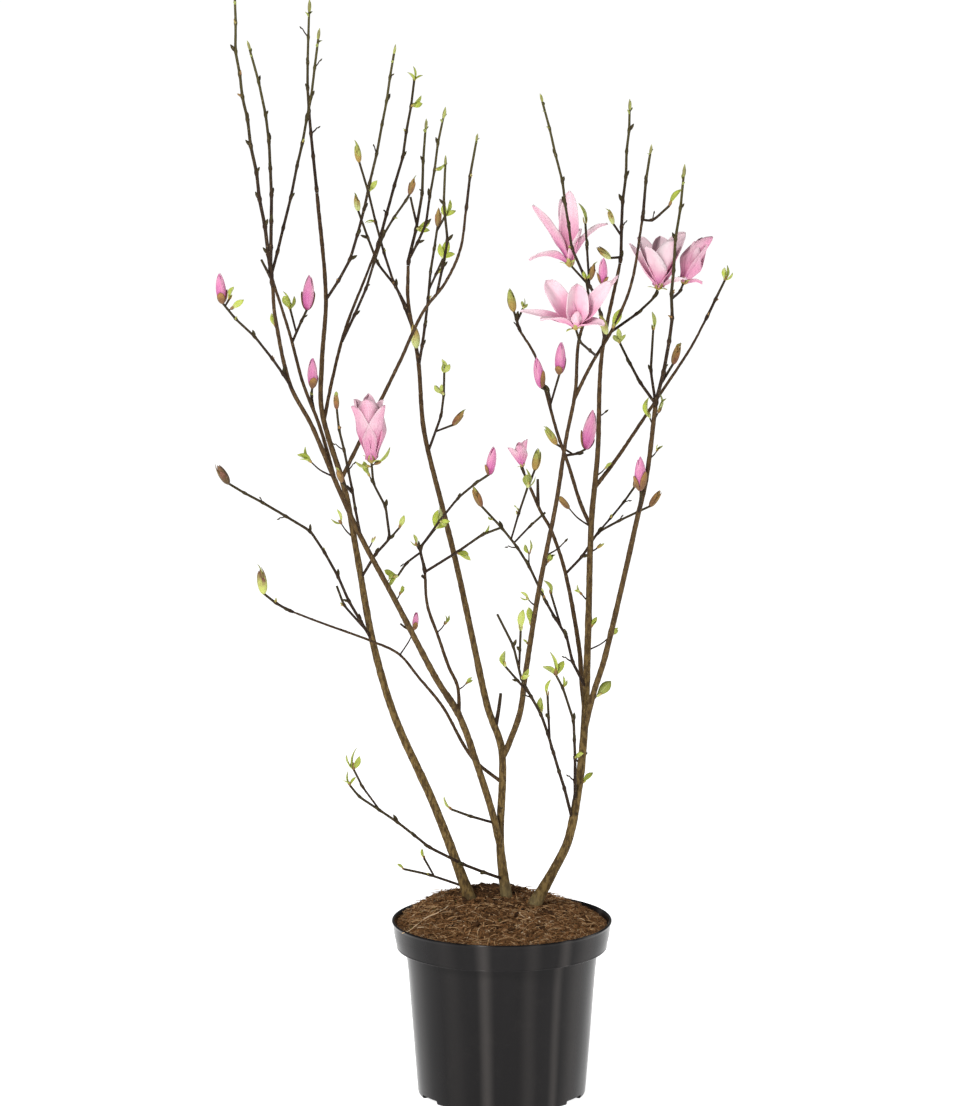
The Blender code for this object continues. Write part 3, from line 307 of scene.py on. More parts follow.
SPRAYS = (
    Spray("shoot_far_left", "bough_leaning", None, 4.0, 0.04, (
        Run(0, "shoot", 18,
            ((-29.7, -12.5, 116.5), (-31.2, -14, 126.5), (-32.4, -15.5, 135), (-32.5, -16, 142))),
        Run(0.02, "cut", 0, ((-29.6, -12.5, 109),)),
    )),
    Spray("shoots_left_front", "bough_left_inner", None, 3.8, 0.05, (
        Run(0, "shoot", 14, ((-28.6, -4.5, 116), (-29.2, -5, 126), (-31.1, -6, 134.2))),
        Run(0.01, "shoot", 16, ((-27.2, -2, 111.5), (-25.5, 0, 119), (-23.8, 2, 127.5), (-22.9, 3, 134.5))),
    )),
    Spray("shoot_left_back", "stem_left", None, 3.6, 0.05, (
        Run(0, "shoot", 18, ((-23.9, 14, 118.5), (-24.6, 15.5, 127), (-24.4, 17, 136.5))),
    )),
    Spray("shoot_left_middle", "stem_left", 100.5, 3.2, 0.05, (
        Run(0, "shoot", 14, ((-19.2, 9, 106), (-16.6, 7, 116), (-15, 6, 123.5), (-13.5, 5, 132.5))),
    )),
    Spray("shoot_back_left", "bough_left_back", None, 3.2, 0.12, (
        Run(0, "tuft", 20, ((-14.7, 18.5, 110.5), (-12.7, 21, 117.5), (-11.2, 23.5, 127))),
    )),
    Spray("spray_left_upper", "bough_left_back", 95.0, 3.0, 0.10, (
        Run(0, "brown", 24, ((-17.2, 11, 102), (-15, 9.5, 109), (-12.1, 9, 113.5), (-11.6, 8.8, 114.4))),
    )),
    Spray("shoot_green_bud", "stem_middle", 98.5, 2.8, 0.10, (
        Run(0, "brown", 27, ((-13.7, 12.3, 102.5), (-15, 11.5, 106.5), (-15.9, 11, 110.5), (-18, 10, 118.3))),
    )),
    Spray("shoot_behind", "stem_middle", 96.5, 2.6, 0.10, (
        Run(0, "brown", 24, ((-13.5, 16, 101.5), (-15.8, 19, 104), (-18.4, 22, 110.5))),
    )),
    Spray("shoots_middle", "stem_middle", None, 3.6, 0.08, (
        Run(0, "shoot", 15, ((-10.9, 15, 109), (-10.2, 16, 113.5), (-9.7, 18, 121.5))),
        Run(0.03, "shoot", 18, ((-9.7, 13, 110), (-8.6, 12, 117), (-7.4, 10, 123.8))),
        Run(0.30, "cut", 0, ((-11.6, 14.6, 113.2),)),
    )),
    Spray("leaf_spray_middle", "stem_middle", 92.0, 3.0, 0.20, (
        Run(0, "brown", 26, ((-9.7, 10, 97.5), (-9, 8.5, 104.5), (-8.1, 7.5, 110.5))),
        Run(0.55, "tuft", 26, ((-7.4, 6.6, 106.5),)),
        Run(0.96, "tuft", 24, ((-7.2, 6.4, 111.8),)),
    )),
    Spray("shoot_crossing", "bough_crossing", None, 3.0, 0.06, (
        Run(0, "shoot", 12, ((-4, -6, 118.5), (-3.2, -7, 123))),
    )),
    Spray("shoot_centre", "bough_crossing", 103.0, 2.6, 0.10, (
        Run(0, "shoot", 14, ((-6.9, 1, 109.5), (-7.2, 2, 114), (-7.1, 3, 118.8))),
    )),
    Spray("twig_fork_top", "bough_fork", None, 3.0, 0.25, (
        Run(0, "tuft", 14, ((10.4, -5.6, 105.6),)),
    )),
    Spray("blossom_front", "bough_rising", 97.0, 2.6, 0.20, (
        Run(0, "open", 66, ((10.8, -16, 98.2), (9.4, -18.6, 99.8), (8.9, -19.2, 101.6))),
    )),
    Spray("shoots_rising", "bough_rising", None, 3.0, 0.10, (
        Run(0, "shoot", 14, ((17.5, -15, 119), (18, -15.6, 122.5))),
        Run(0.02, "leaf", 26, ((18.3, -14.4, 114), (20.4, -14.8, 116))),
    )),
    Spray("blossom_upper_right", "bough_rising", 100.0, 3.0, 0.15, (
        Run(0, "half", 74, ((16.6, -10.4, 102), (18.9, -7.6, 103.6), (19.3, -7.2, 104.8))),
    )),
    Spray("shoots_right", "bough_outer", None, 4.0, 0.08, (
        Run(0, "shoot", 18, ((20.7, -10, 98.5), (21, -11, 107.5), (22.2, -12, 119.2))),
        Run(0.01, "tuft", 20, ((17.1, -8, 93), (14.6, -7.2, 97.8))),
        Run(0.01, "leaf", 24, ((18.4, -7.8, 94.5), (18.7, -7.4, 99.5))),
        Run(0.10, "tipped", 30, ((21.2, -7, 95.2),)),
        Run(0.48, "goblet", 64, ((22, -6.8, 104.2), (22.5, -5.6, 105.2))),
    )),
    Spray("shoot_right_middle", "stem_right", None, 3.4, 0.08, (
        Run(0, "shoot", 16, ((15.1, 10, 110), (15.8, 11, 119.5), (16.1, 12, 124.6))),
        Run(0.04, "brown", 28, ((13.6, 8.2, 106.3),)),
        Run(0.18, "brown", 22, ((14, 9, 110.6),)),
    )),
    Spray("blossom_upper", "stem_right", 96.0, 3.2, 0.06, (
        Run(0, "shoot", 13,
            ((11.9, 3.4, 101.8), (10.1, 0, 105.4), (8.7, -2, 109), (7.4, -5, 117.7), (4.9, -8, 128))),
        Run(0.26, "open_up", 78, ((8.5, 3.2, 106.2),)),
        Run(0.27, "leaf", 28, ((10.6, 1, 108.6), (10.4, 1.6, 111.6))),
        Run(0.15, "pink", 36, ((12.6, 1.6, 104),)),
    )),
    Spray("twigs_far_right", "bough_back_right", None, 3.0, 0.18, (
        Run(0, "tuft", 22, ((27.2, 15.2, 100), (28.4, 16, 102.3))),
    )),
    Spray("bud_spray_back", "bough_back", None, 3.0, 0.15, (
        Run(0, "brown", 32, ((1.9, 14.4, 97.6), (1.5, 14.6, 98.6))),
        Run(0.5, "tuft", 14, ((2.7, 14.2, 99),)),
    )),
    Spray("pink_buds_back", "bough_back", 86.5, 2.6, 0.15, (
        Run(0, "pink", 42, ((6, 9.6, 89), (5, 9.2, 89.6))),
        Run(0.2, "pink", 44, ((7.3, 9, 91.4),)),
    )),
    Spray("pink_bud_right", "bough_back", 81.0, 2.6, 0.15, (
        Run(0, "pink", 54, ((9.6, 9.6, 81), (10.7, 9.9, 81.6))),
        Run(0.4, "brown", 30, ((6.9, 8.8, 82.4),)),
    )),
    Spray("pink_bud_outer", "bough_outer", 76.0, 2.4, 0.10, (
        Run(0, "pink", 46, ((17.3, -7.2, 78.2), (17.2, -7.6, 79.4))),
    )),
    Spray("bud_spray_right", "bough_inner", 66.0, 2.8, 0.15, (
        Run(0, "brown", 28, ((10.2, 8, 68), (12.3, 9, 71), (17.5, 10, 73.5), (18.9, 11, 74))),
        Run(0.45, "brown", 26, ((15.6, 10.6, 74.6), (16.9, 11.4, 76.4))),
    )),
    Spray("blossom_small", "bough_inner", None, 3.0, 0.15, (
        Run(0, "small", 36, ((2.7, 10.4, 78.6), (2.6, 10.4, 79.3))),
        Run(0.1, "brown", 32, ((4.2, 11.6, 78.6),)),
    )),
    Spray("twigs_centre", "stem_right", 52.2, 3.0, 0.12, (
        Run(0, "brown", 30,
            ((8.9, 0, 56), (8.1, -1, 59.5), (5.5, -1.5, 64), (3.5, -1.5, 68.5), (0.1, -1, 73.3),
             (-2.6, -1, 76.2))),
        Run(0.34, "leaf", 22, ((6.2, 0.6, 64.6),)),
        Run(0.80, "tuft", 26, ((2.1, 0.2, 75), (3.2, 0.8, 78.2))),
        Run(0.78, "cut", 0, ((3.5, -3, 74), (5.4, -3.4, 75.8))),
    )),
    Spray("twigs_right_low", "stem_right", 35.5, 3.4, 0.10, (
        Run(0, "cut", 0,
            ((7.9, -1.5, 40), (7.2, -3, 42.5), (4.9, -6, 50.5), (2.4, -8, 55.5), (1.4, -9.5, 60),
             (-0.6, -11, 64.3))),
        Run(0.40, "leaf", 22, ((5.7, -7, 53.2),)),
        Run(0.62, "leaf", 26, ((0.4, -8.6, 57.2),)),
        Run(0.74, "leaf", 28, ((2.3, -10.6, 62.2),)),
    )),
    Spray("twigs_right_mid", "stem_right", 37.5, 3.2, 0.12, (
        Run(0, "tuft", 32, ((9.2, -2, 44), (9, -3, 49), (7.7, -4, 53.5), (6.8, -4.5, 55.2))),
    )),
    Spray("twigs_left_low", "stem_middle", 27.4, 3.2, 0.10, (
        Run(0, "tuft", 20,
            ((-5, -3, 30.5), (-9.1, -4.5, 33), (-13.1, -5.5, 36.5), (-17.9, -6.5, 40), (-19.1, -7, 41.6))),
        Run(0.80, "tuft", 30, ((-17.5, -7.5, 41.5), (-18.6, -8.5, 44),)),
    )),
    Spray("twig_lowest", "stem_left", 26.6, 2.6, 0.12, (
        Run(0, "leaf", 12, ((-9.2, 1.6, 28), (-12.5, 3, 28.4))),
        Run(0.5, "leaf", 14, ((-9.9, 2.6, 29.9),)),
    )),
    Spray("twig_low", "bough_leaning", 35.0, 2.6, 0.12, (
        Run(0, "leaf", 22, ((-3.9, -1.8, 36.4), (-6.4, -3, 37.6))),
    )),
    Spray("bud_far_left", "bough_reaching_left", None, 2.6, 0.08, (
        Run(0, "brown", 36, ((-28.4, -3.7, 64.3), (-29.9, -4, 65.6))),
    )),
    Spray("twigs_knobbly", "bough_knobbly", None, 3.4, 0.22, (
        Run(0, "tuft", 30, ((-10.4, 0, 70.6), (-8.4, 0.6, 73))),
        Run(0.02, "cut", 0, ((-5.7, -1.2, 70.3), (-2.4, -2.4, 72.8), (-0.1, -4, 74))),
        Run(0.42, "tuft", 26, ((-12, -1.2, 69), (-13.1, -1.8, 67.4))),
        Run(0.60, "pink", 38, ((-5.6, -2, 77.4), (-3.4, -3.4, 79.4), (-1.6, -3.6, 80.7))),
    )),
    Spray("twigs_far_left", "stem_left", 57.5, 3.2, 0.06, (
        Run(0, "brown", 32,
            ((-19.3, 4, 63), (-22.3, 2, 69.7), (-24.2, 1, 72.6), (-30.1, -2, 76.8), (-34.2, -4, 79.6))),
        Run(0.06, "cut", 0, ((-20.1, 6.6, 62), (-21, 8, 64.2))),
    )),
    Spray("blossom_left", "stem_left", 65.5, 3.0, 0.10, (
        Run(0, "tulip", 78,
            ((-16, 4.6, 69), (-14.1, 3, 71.3), (-14.7, 1, 75.7), (-16.1, -0.6, 79), (-16.4, -1, 82))),
        Run(0.38, "leaf", 18, ((-12.9, 2, 72.9),)),
    )),
    Spray("twig_inner_left", "bough_leaning", 73.2, 2.8, 0.12, (
        Run(0, "brown", 22, ((-18.3, -7.4, 77), (-19.1, -8.2, 82), (-20.2, -9.2, 87.3), (-20.5, -9.5, 90))),
        Run(0.35, "brown", 24, ((-19.9, -10, 80.9),)),
    )),
    Spray("pink_bud_far_left", "bough_leaning", 92.2, 2.8, 0.10, (
        Run(0, "pink", 40,
            ((-28.3, -11.2, 96.5), (-30.5, -13, 99.5), (-32.7, -14.5, 102), (-34.3, -16, 104.2))),
        Run(0.96, "leaf", 20, ((-33.4, -16.6, 104.8),)),
    )),
    Spray("pink_bud_upper_left", "bough_left_inner", 97.5, 2.6, 0.20, (
        Run(0, "pink", 46, ((-25, -3.2, 100), (-24.3, -2.8, 101.4))),
        Run(0.3, "tuft", 26, ((-26.4, -2.6, 101.4),)),
    )),
    Spray("pink_bud_left", "bough_left_inner", 88.6, 2.4, 0.10, (
        Run(0, "pink", 40, ((-23.8, -3.6, 90.6), (-23.7, -3.2, 91.6))),
    )),
    Spray("buds_middle", "stem_middle", 81.5, 2.6, 0.15, (
        Run(0, "tuft", 20, ((-7.7, 9, 86), (-7.3, 8.6, 91.6))),
        Run(0.25, "brown", 26, ((-6.2, 10.4, 84.6),)),
    )),
)


class Spur(NamedTuple):
    """A short side twig at a height in cm. Its turn and rise are in degrees, its other sizes in mm."""

    parent: str
    height: float
    turn: float
    rise: float
    length: float
    thickness: float
    end: str
    size: float


SPURS = (
    Spur("stem_middle", 36.7, 275, 20, 5, 5.5, "cut", 0),
    Spur("stem_middle", 27.5, 300, 10, 6, 6, "cut", 0),
    Spur("stem_middle", 46.9, 350, 80, 46, 5.2, "cut", 0),
    Spur("stem_middle", 93.6, 240, 75, 8, 2.4, "brown", 34),
    Spur("stem_right", 36.0, 300, 25, 7, 5, "cut", 0),
    Spur("stem_right", 31.8, 320, 20, 7, 5, "cut", 0),
    Spur("stem_right", 43.4, 0, 40, 9, 3, "cut", 0),
    Spur("stem_right", 42.6, 190, 35, 11, 2.2, "next", 5),
    Spur("stem_right", 47.3, 0, 40, 7, 3, "cut", 0),
    Spur("stem_right", 39.8, 0, 30, 6, 1.8, "leaf", 20),
    Spur("bough_outer", 51.0, 0, 30, 8, 2, "leaf", 28),
    Spur("stem_right", 57.0, 20, 22, 38, 1.8, "pale", 13),
    Spur("stem_right", 59.2, 0, 60, 9, 1.6, "pale", 16),
    Spur("bough_outer", 61.8, 60, 60, 6, 1.8, "bud", 13),
    Spur("stem_right", 63.2, 180, 40, 13, 1.8, "pale", 15),
    Spur("bough_fork", 69.3, 0, 50, 10, 2, "tuft", 16),
    Spur("stem_right", 69.5, 0, 20, 11, 2, "bud", 12),
    Spur("twigs_centre", 64.0, 180, 60, 5, 1.5, "leaf", 18),
    Spur("bough_fork", 64.2, 180, 35, 13, 1.8, "spread", 15),
    Spur("bough_fork", 58.7, 180, 45, 5, 1.5, "leaf", 9),
    Spur("bough_fork", 61.0, 150, 75, 5, 1.5, "leaf", 26),
    Spur("bough_leaning", 61.0, 180, 25, 15, 3, "cut", 0),
    Spur("bough_leaning", 63.5, 170, 55, 20, 1.8, "next", 6),
    Spur("bough_reaching_left", 56.9, 330, 55, 42, 1.6, "pink", 24),
    Spur("bough_knobbly", 59.8, 20, 40, 15, 1.6, "pale", 14),
    Spur("bough_leaning", 64.8, 20, 50, 10, 1.8, "pale", 14),
    Spur("bough_knobbly", 52.6, 10, 30, 13, 1.5, "pale", 12),
    Spur("bough_knobbly", 66.8, 180, 30, 6, 4, "cut", 0),
    Spur("bough_outer", 87.6, 190, 62, 11, 2, "pale", 28),
    Spur("bough_outer", 88.3, 345, 55, 11, 2, "pale", 26),
    Spur("twigs_knobbly", 70.2, 180, 55, 9, 1.6, "spread", 16),
    Spur("twigs_centre", 74.4, 225, 10, 5, 1.4, "leaf", 10),
    Spur("bough_leaning", 99.8, 180, 60, 7, 1.8, "leaf", 18),
    Spur("bough_leaning", 81.0, 190, 28, 34, 2, "tuft", 25),
    Spur("stem_left", 70.5, 190, 45, 26, 1.8, "spread", 20),
    Spur("bough_leaning", 71.5, 0, 55, 12, 1.6, "bud", 10),
    Spur("stem_right", 86.5, 0, 25, 9, 1.6, "next", 7),
    Spur("bough_outer", 83.2, 10, 40, 14, 1.6, "spread", 12),
    Spur("stem_right", 79.0, 0, 35, 16, 1.6, "leaf", 12),
    Spur("bough_fork", 71.0, 0, 30, 30, 1.8, "next", 7),
    Spur("bough_inner", 74.3, 100, 85, 34, 4.4, "cut", 0),
    Spur("twigs_centre", 68.6, 90, 80, 16, 1.6, "spread", 20),
    Spur("blossom_upper", 104.0, 20, 70, 6, 1.8, "brown", 24),
    Spur("stem_right", 72.6, 185, 35, 38, 2, "brown", 24),
    Spur("pink_bud_far_left", 103.2, 330, 15, 4, 1.6, "leaf", 22),
    Spur("blossom_left", 81.4, 0, 12, 4, 1.6, "leaf", 30),
    Spur("blossom_left", 81.2, 195, -4, 3, 1.6, "leaf", 22),
    Spur("blossom_left", 79.2, 190, 55, 9, 1.8, "leaf", 22),
    Spur("bough_rising", 99.4, 205, 62, 5, 1.8, "brown", 28),
    Spur("bough_rising", 100.2, 330, 62, 4, 1.8, "leaf", 27),
)


def in_metres(knots):
    return [Vector(knot) * CM for knot in knots]


def headings_along(points):
    """The line's heading at each point, from the point before it to the one after."""
    before = [points[0], *points[:-1]]
    after = [*points[1:], points[-1]]
    return [(end - start).normalized() for start, end in zip(before, after)]


def smooth(knots, step):
    """Points about a step apart on a rounded line through the knots."""
    headings = headings_along(knots)
    points = [knots[0].copy()]
    for number, (start, end) in enumerate(zip(knots, knots[1:])):
        length = (end - start).length
        reach = length / 3
        count = max(2, round(length / step) + 1)
        points += geometry.interpolate_bezier(
            start, start + headings[number] * reach, end - headings[number + 1] * reach, end, count)[1:]
    return points


def shares(points):
    """Each point's share of the line's length."""
    run = [0.0]
    for before, after in zip(points, points[1:]):
        run.append(run[-1] + (after - before).length)
    return [reached / run[-1] for reached in run]


def length_of(points):
    return sum((after - before).length for before, after in zip(points, points[1:]))


def stretch_at(steps, share):
    """The number of the stretch in which a share lies, and how far along it."""
    for number in range(len(steps) - 1):
        if steps[number + 1] >= share:
            return number, (share - steps[number]) / (steps[number + 1] - steps[number])
    raise ValueError(f"no stretch reaches a share of {share}")


def between(steps, values, share):
    """The value at a share, between those at the steps."""
    number, part = stretch_at(steps, share)
    return values[number] + (values[number + 1] - values[number]) * part


def at_share(points, share):
    """The place and heading at a share of the line's length."""
    number, part = stretch_at(shares(points), share)
    span = points[number + 1] - points[number]
    return points[number] + span * part, span.normalized()


def at_height(points, height):
    """The place and heading where a line first rises through a height in cm."""
    level = height * CM
    steps = shares(points)
    for number, (before, after) in enumerate(zip(points, points[1:])):
        if before.z <= level <= after.z:
            part = (level - before.z) / (after.z - before.z)
            return at_share(points, steps[number] + (steps[number + 1] - steps[number]) * part)
    raise ValueError(f"the line doesn't rise through {height} cm")


def turned(heading, tilt, turn):
    """A heading tipped by an angle and turned round the old one."""
    side = heading.orthogonal().normalized()
    side.rotate(Matrix.Rotation(turn, 3, heading))
    return (heading * math.cos(tilt) + side * math.sin(tilt)).normalized()


def towards(turn, rise):
    """A heading by its turn in degrees, 0 right, 90 back, 180 left and 270 front, and its rise in degrees."""
    flat, up = math.radians(turn), math.radians(rise)
    return Vector((math.cos(flat) * math.cos(up), math.sin(flat) * math.cos(up), math.sin(up)))


def lifted(heading, rise):
    """A heading bent upwards."""
    return (heading + Vector((0, 0, rise))).normalized()


def aimed(heading, place, roll=0.0, size=1.0):
    """The matrix that stands a shape's Z along a heading at a place, and scales it."""
    rotation = heading.to_track_quat("Z", "Y").to_matrix().to_4x4()
    return Matrix.Translation(place) @ rotation @ Matrix.Rotation(roll, 4, "Z") @ Matrix.Scale(size, 4)


class Plant:
    """The lines of every limb and twig. A fine line runs beside each plain one of the solids."""

    def __init__(self):
        self.lines = {}
        self.fine = {}
        self.radii = {}
        self.runs = {}
        for limb in STEMS + BOUGHS:
            self.add_limb(limb)
        for number, spray in enumerate(SPRAYS):
            self.add_spray(spray, random.Random(SEED + number))

    def add_limb(self, limb):
        """A bough starts inside its parent, and a stem below the face of the compost."""
        knots = in_metres(limb.knots)
        if limb.parent:
            root, _ = at_height(self.lines[limb.parent], limb.height)
            knots = [root, *knots]
            step = BOUGH_STEP
        else:
            heading = (knots[1] - knots[0]).normalized()
            knots = [knots[0] - heading * (FOOT_DEPTH * 2 / heading.z), *knots]
            step = STEM_STEP
        self.lines[limb.name] = smooth(knots, step)
        self.fine[limb.name] = smooth(knots, LIMB_STEP)
        self.radii[limb.name] = self.taper(limb, self.lines[limb.name])

    @staticmethod
    def taper(limb, points):
        """The radius at each point, with a root flare at the foot of a stem."""
        foot, tip = (value / 2 * MM for value in limb.thickness)
        ground = limb.knots[0][2] * CM
        radii = []
        for place, share in zip(points, shares(points)):
            flare = 0 if limb.parent else FOOT_FLARE * math.exp(-max(0, place.z - ground) / FLARE_REACH)
            radii.append((foot + (tip - foot) * share) * (1 + flare))
        return radii

    def add_spray(self, spray, rng):
        """The first twig of a spray starts on its parent, and the others start on the first."""
        parent = self.lines[spray.parent]
        if spray.height is None:
            tip, heading = at_share(parent, 1)
            roots = [tip + heading * GAP, tip + heading * NECK * MM]
        else:
            roots = [at_height(parent, spray.height)[0]]
        runs = []
        for run in spray.runs:
            if runs:
                roots = [at_share(runs[0][0], run.share)[0]]
            points = smooth(roots + in_metres(run.knots), INTERNODE)
            points = self.zigzag(points, len(roots), rng)
            foot = spray.thickness / 2 * MM
            if runs:
                foot *= SIDE_TWIG_THICKNESS - SIDE_TWIG_FALL * run.share
            radii = [foot + (TWIG_TIP - foot) * share for share in shares(points)]
            runs.append((points, radii, run))
        self.runs[spray.name] = runs

    @staticmethod
    def zigzag(points, kept, rng):
        """Kinks a twig at its nodes, alternately to either side."""
        side = Vector((rng.uniform(-1, 1), rng.uniform(-1, 1), 0)).normalized()
        for number in range(kept + 1, len(points) - 1):
            points[number] = points[number] + side * ZIGZAG * (-1) ** number
        return points


class Space:
    """What each node takes up, as balls, so that leaves keep clear of every other node."""

    def __init__(self, plant):
        self.balls = []
        self.late = []
        for name, points in plant.lines.items():
            self.add_line(name, points, plant.radii[name])
        for name, runs in plant.runs.items():
            for points, radii, _ in runs:
                self.add_line(name, points, radii)
        self.tree = kdtree.KDTree(len(self.balls))
        for number, (_, place, _) in enumerate(self.balls):
            self.tree.insert(place, number)
        self.tree.balance()
        self.widest = max(radius for _, _, radius in self.balls)

    def add_line(self, name, points, radii):
        """Fills a line with balls."""
        for start, end, radius in zip(points, points[1:], radii):
            count = max(1, round((end - start).length / BALL_STEP))
            for step in range(count + 1):
                self.balls.append((name, start.lerp(end, step / count), radius))

    def free(self, name, start, end, radius):
        """Whether a slim body from start to end stays in the crown and clear of the other nodes."""
        for place in (start, end):
            if any(not low <= value <= high for low, value, high in zip(CROWN_LOW, place, CROWN_HIGH)):
                return False
        for share in PROBED:
            place = start.lerp(end, share)
            reach = radius + self.widest + CLEARANCE
            for _, number, distance in self.tree.find_range(place, reach):
                other, _, thick = self.balls[number]
                if other != name and distance < radius + thick + CLEARANCE:
                    return False
            for other, spot, thick in self.late:
                if other != name and (spot - place).length < radius + thick + CLEARANCE:
                    return False
        return True

    def take(self, name, start, end, radius):
        """Keeps what has grown from start to end clear of what grows later."""
        for share in TAKEN:
            self.late.append((name, start.lerp(end, share), radius))


class Growing(NamedTuple):
    """A bud, leaf, scale or blossom. Its spray is a number, and short side twigs are numbered after them."""

    kind: str
    place: Vector
    heading: Vector
    size: float
    roll: float
    spray: int

    def stand(self, sunk, size=1.0):
        """The matrix that stands a shape here, sunk into its twig by so many mm."""
        return aimed(self.heading, self.place - self.heading * sunk * MM, self.roll, size)


class Twig(NamedTuple):
    """The fine line of a twig, its radii and how fresh its bark is at the tip."""

    points: list
    radii: list
    fresh: float


def side_of_kink(points, number):
    """Where the twig's bend at a node points, which is the side that its bud sits on."""
    middle = (points[number - 1] + points[number + 1]) / 2
    away = points[number] - middle
    if away.length < TINY:
        return turned((points[number + 1] - points[number]).normalized(), math.pi / 2, number * math.pi)
    return away.normalized()


def fine_twig(points, radii, fresh):
    """The twig's line at small steps, with its bends rounded and its nodes swollen."""
    line, thick, nodes = [points[0]], [radii[0]], [0.0]
    for start, end, low, high in zip(points, points[1:], radii, radii[1:]):
        length = (end - start).length
        count = max(1, round(length / TWIG_STEP))
        for step in range(1, count + 1):
            line.append(start.lerp(end, step / count))
            thick.append(low + (high - low) * step / count)
        nodes.append(nodes[-1] + length)
    for _ in range(ROUNDING_PASSES):
        line[1:-1] = [
            (before + place * 2 + after) / 4 for before, place, after in zip(line, line[1:], line[2:])]
    whole = length_of(line)
    swollen = []
    for share, radius in zip(shares(line), thick):
        near = min(abs(share * whole - node) for node in nodes[1:-1]) if len(nodes) > 2 else 1
        swollen.append((radius + TWIG_BARK) * (1 + NODE_SWELL * math.exp(-(near / NODE_REACH) ** 2)))
    return Twig(line, swollen, fresh)


class Growth:
    """Everything that the seeded rule grows on the plant's lines, sorted by what it is made as."""

    def __init__(self, plant):
        self.plant = plant
        self.space = Space(plant)
        self.twigs = []
        self.growing = []
        for number, spray in enumerate(SPRAYS):
            self.grow_spray(number, spray, random.Random(SEED * 2 + number))
        for number, spur in enumerate(SPURS):
            self.grow_spur(len(SPRAYS) + number, spur)

    def put(self, kind, place, heading, size, roll, spray):
        """Notes what is to grow at a place."""
        self.growing.append(Growing(kind, place, heading.normalized(), size, roll, spray))

    def grow_spray(self, number, spray, rng):
        """The twigs of a spray, then what each ends in, then what grows at its nodes."""
        runs = self.plant.runs[spray.name]
        for points, radii, run in runs:
            fresh = SHOOT_FRESH if run.end == "shoot" else TWIG_FRESH
            self.twigs.append(fine_twig(points, radii, fresh))
        for points, _, run in runs:
            self.grow_end(number, run, points, rng)
        for points, radii, _ in runs:
            self.grow_nodes(number, spray, points, radii, rng)

    def grow_end(self, number, run, points, rng):
        """What a twig ends in."""
        tip = points[-1]
        heading = (points[-1] - points[-2]).normalized()
        size = run.size * MM
        upright = lifted(heading, UPTURN)
        if run.end == "shoot":
            self.put("tip", tip, heading, size, 0, number)
            for turn in range(2):
                low, course = at_share(points, 1 - 0.02 * (turn + 1))
                lean = turned(course, 0.6, turn * math.pi + rng.random())
                self.put("sheath", low, lean, size * 0.8, 0, number)
        elif run.end == "leaf":
            self.put("leaf", tip, upright, size, rng.uniform(0, math.pi), number)
            self.put("scale", tip, upright, size * SCALE_SHARE, 0, number)
        elif run.end == "tuft":
            for turn in range(3):
                lean = turned(upright, 0.2 + 0.25 * turn, 2.4 * turn + rng.random())
                self.put("leaf", tip, lean, size * (1 - 0.14 * turn), rng.uniform(0, math.pi), number)
            self.put("scale", tip, upright, size * 0.45, 0, number)
        elif run.end != "cut":
            self.put(run.end, tip, upright, size, 0, number)

    @staticmethod
    def drawn_kind(draw, leafy):
        """What grows at a node: a leaf, a stub, a bud or else the small bud of the next season."""
        limits = {"leaf": leafy, "stub": leafy + STUB_SHARE, "bud": leafy + STUB_SHARE + BUD_SHARE}
        return next((kind for kind, limit in limits.items() if draw < limit), "next")

    def grow_nodes(self, number, spray, points, radii, rng):
        """The seeded rule at each node of a twig."""
        turn = rng.uniform(0, math.tau)
        for node in range(1, len(points) - 1):
            turn += LEAF_TURN
            course = (points[node + 1] - points[node]).normalized()
            draw, vigour, tilt, roll = (rng.random() for _ in range(4))
            kind = self.drawn_kind(draw, spray.leafy)
            least, extra, wide = NODE_KINDS[kind]
            size = least + extra * vigour
            if kind == "next":
                heading = (course + side_of_kink(points, node) * (0.50 + 0.35 * tilt)).normalized()
            else:
                heading = turned(course, 0.55 + 0.5 * tilt, turn)
            place = points[node] + heading * radii[node] * 0.4
            if kind != "next":
                body = (spray.name, place, place + heading * size, wide * size)
                if not self.space.free(*body):
                    continue
                self.space.take(*body)
            if kind == "stub":
                self.twigs.append(spur_twig(place, heading, size, radii[node] * 0.6))
                self.put("next", place + heading * size, heading, STUB_BUD, 0, number)
            else:
                self.put(kind, place, heading, size, roll * math.pi, number)
            if kind == "leaf":
                self.put("leaf", place, turned(heading, 0.5, turn * 2), size * SECOND_LEAF, roll * 2, number)
                self.put("scale", place, heading, size * SCALE_SHARE, 0, number)

    def grow_spur(self, number, spur):
        """A short side twig that the photograph shows, with what it ends in."""
        line = self.plant.fine.get(spur.parent)
        if line is None:
            line = self.plant.runs[spur.parent][0][0]
        root, _ = at_height(line, spur.height)
        size = spur.size * MM
        heading = towards(spur.turn, spur.rise)
        twig = spur_twig(root, heading, spur.length * MM, spur.thickness / 2 * MM)
        self.twigs.append(twig)
        tip = twig.points[-1]
        upright = (twig.points[-1] - twig.points[-2]).normalized()
        rng = random.Random(SEED * 3 + number)
        if spur.end in SPUR_LEAVES:
            count, opening = SPUR_LEAVES[spur.end]
            for turn in range(count):
                lean = turned(upright, opening * (0.6 + 0.4 * turn), turn * math.pi * 0.9 + rng.random())
                self.put("leaf", tip, lean, size * (1 - 0.12 * turn), rng.uniform(0, math.pi), number)
            self.put("scale", tip, upright, size * SCALE_SHARE, 0, number)
        elif spur.end != "cut":
            self.put(spur.end, tip, upright, size, 0, number)


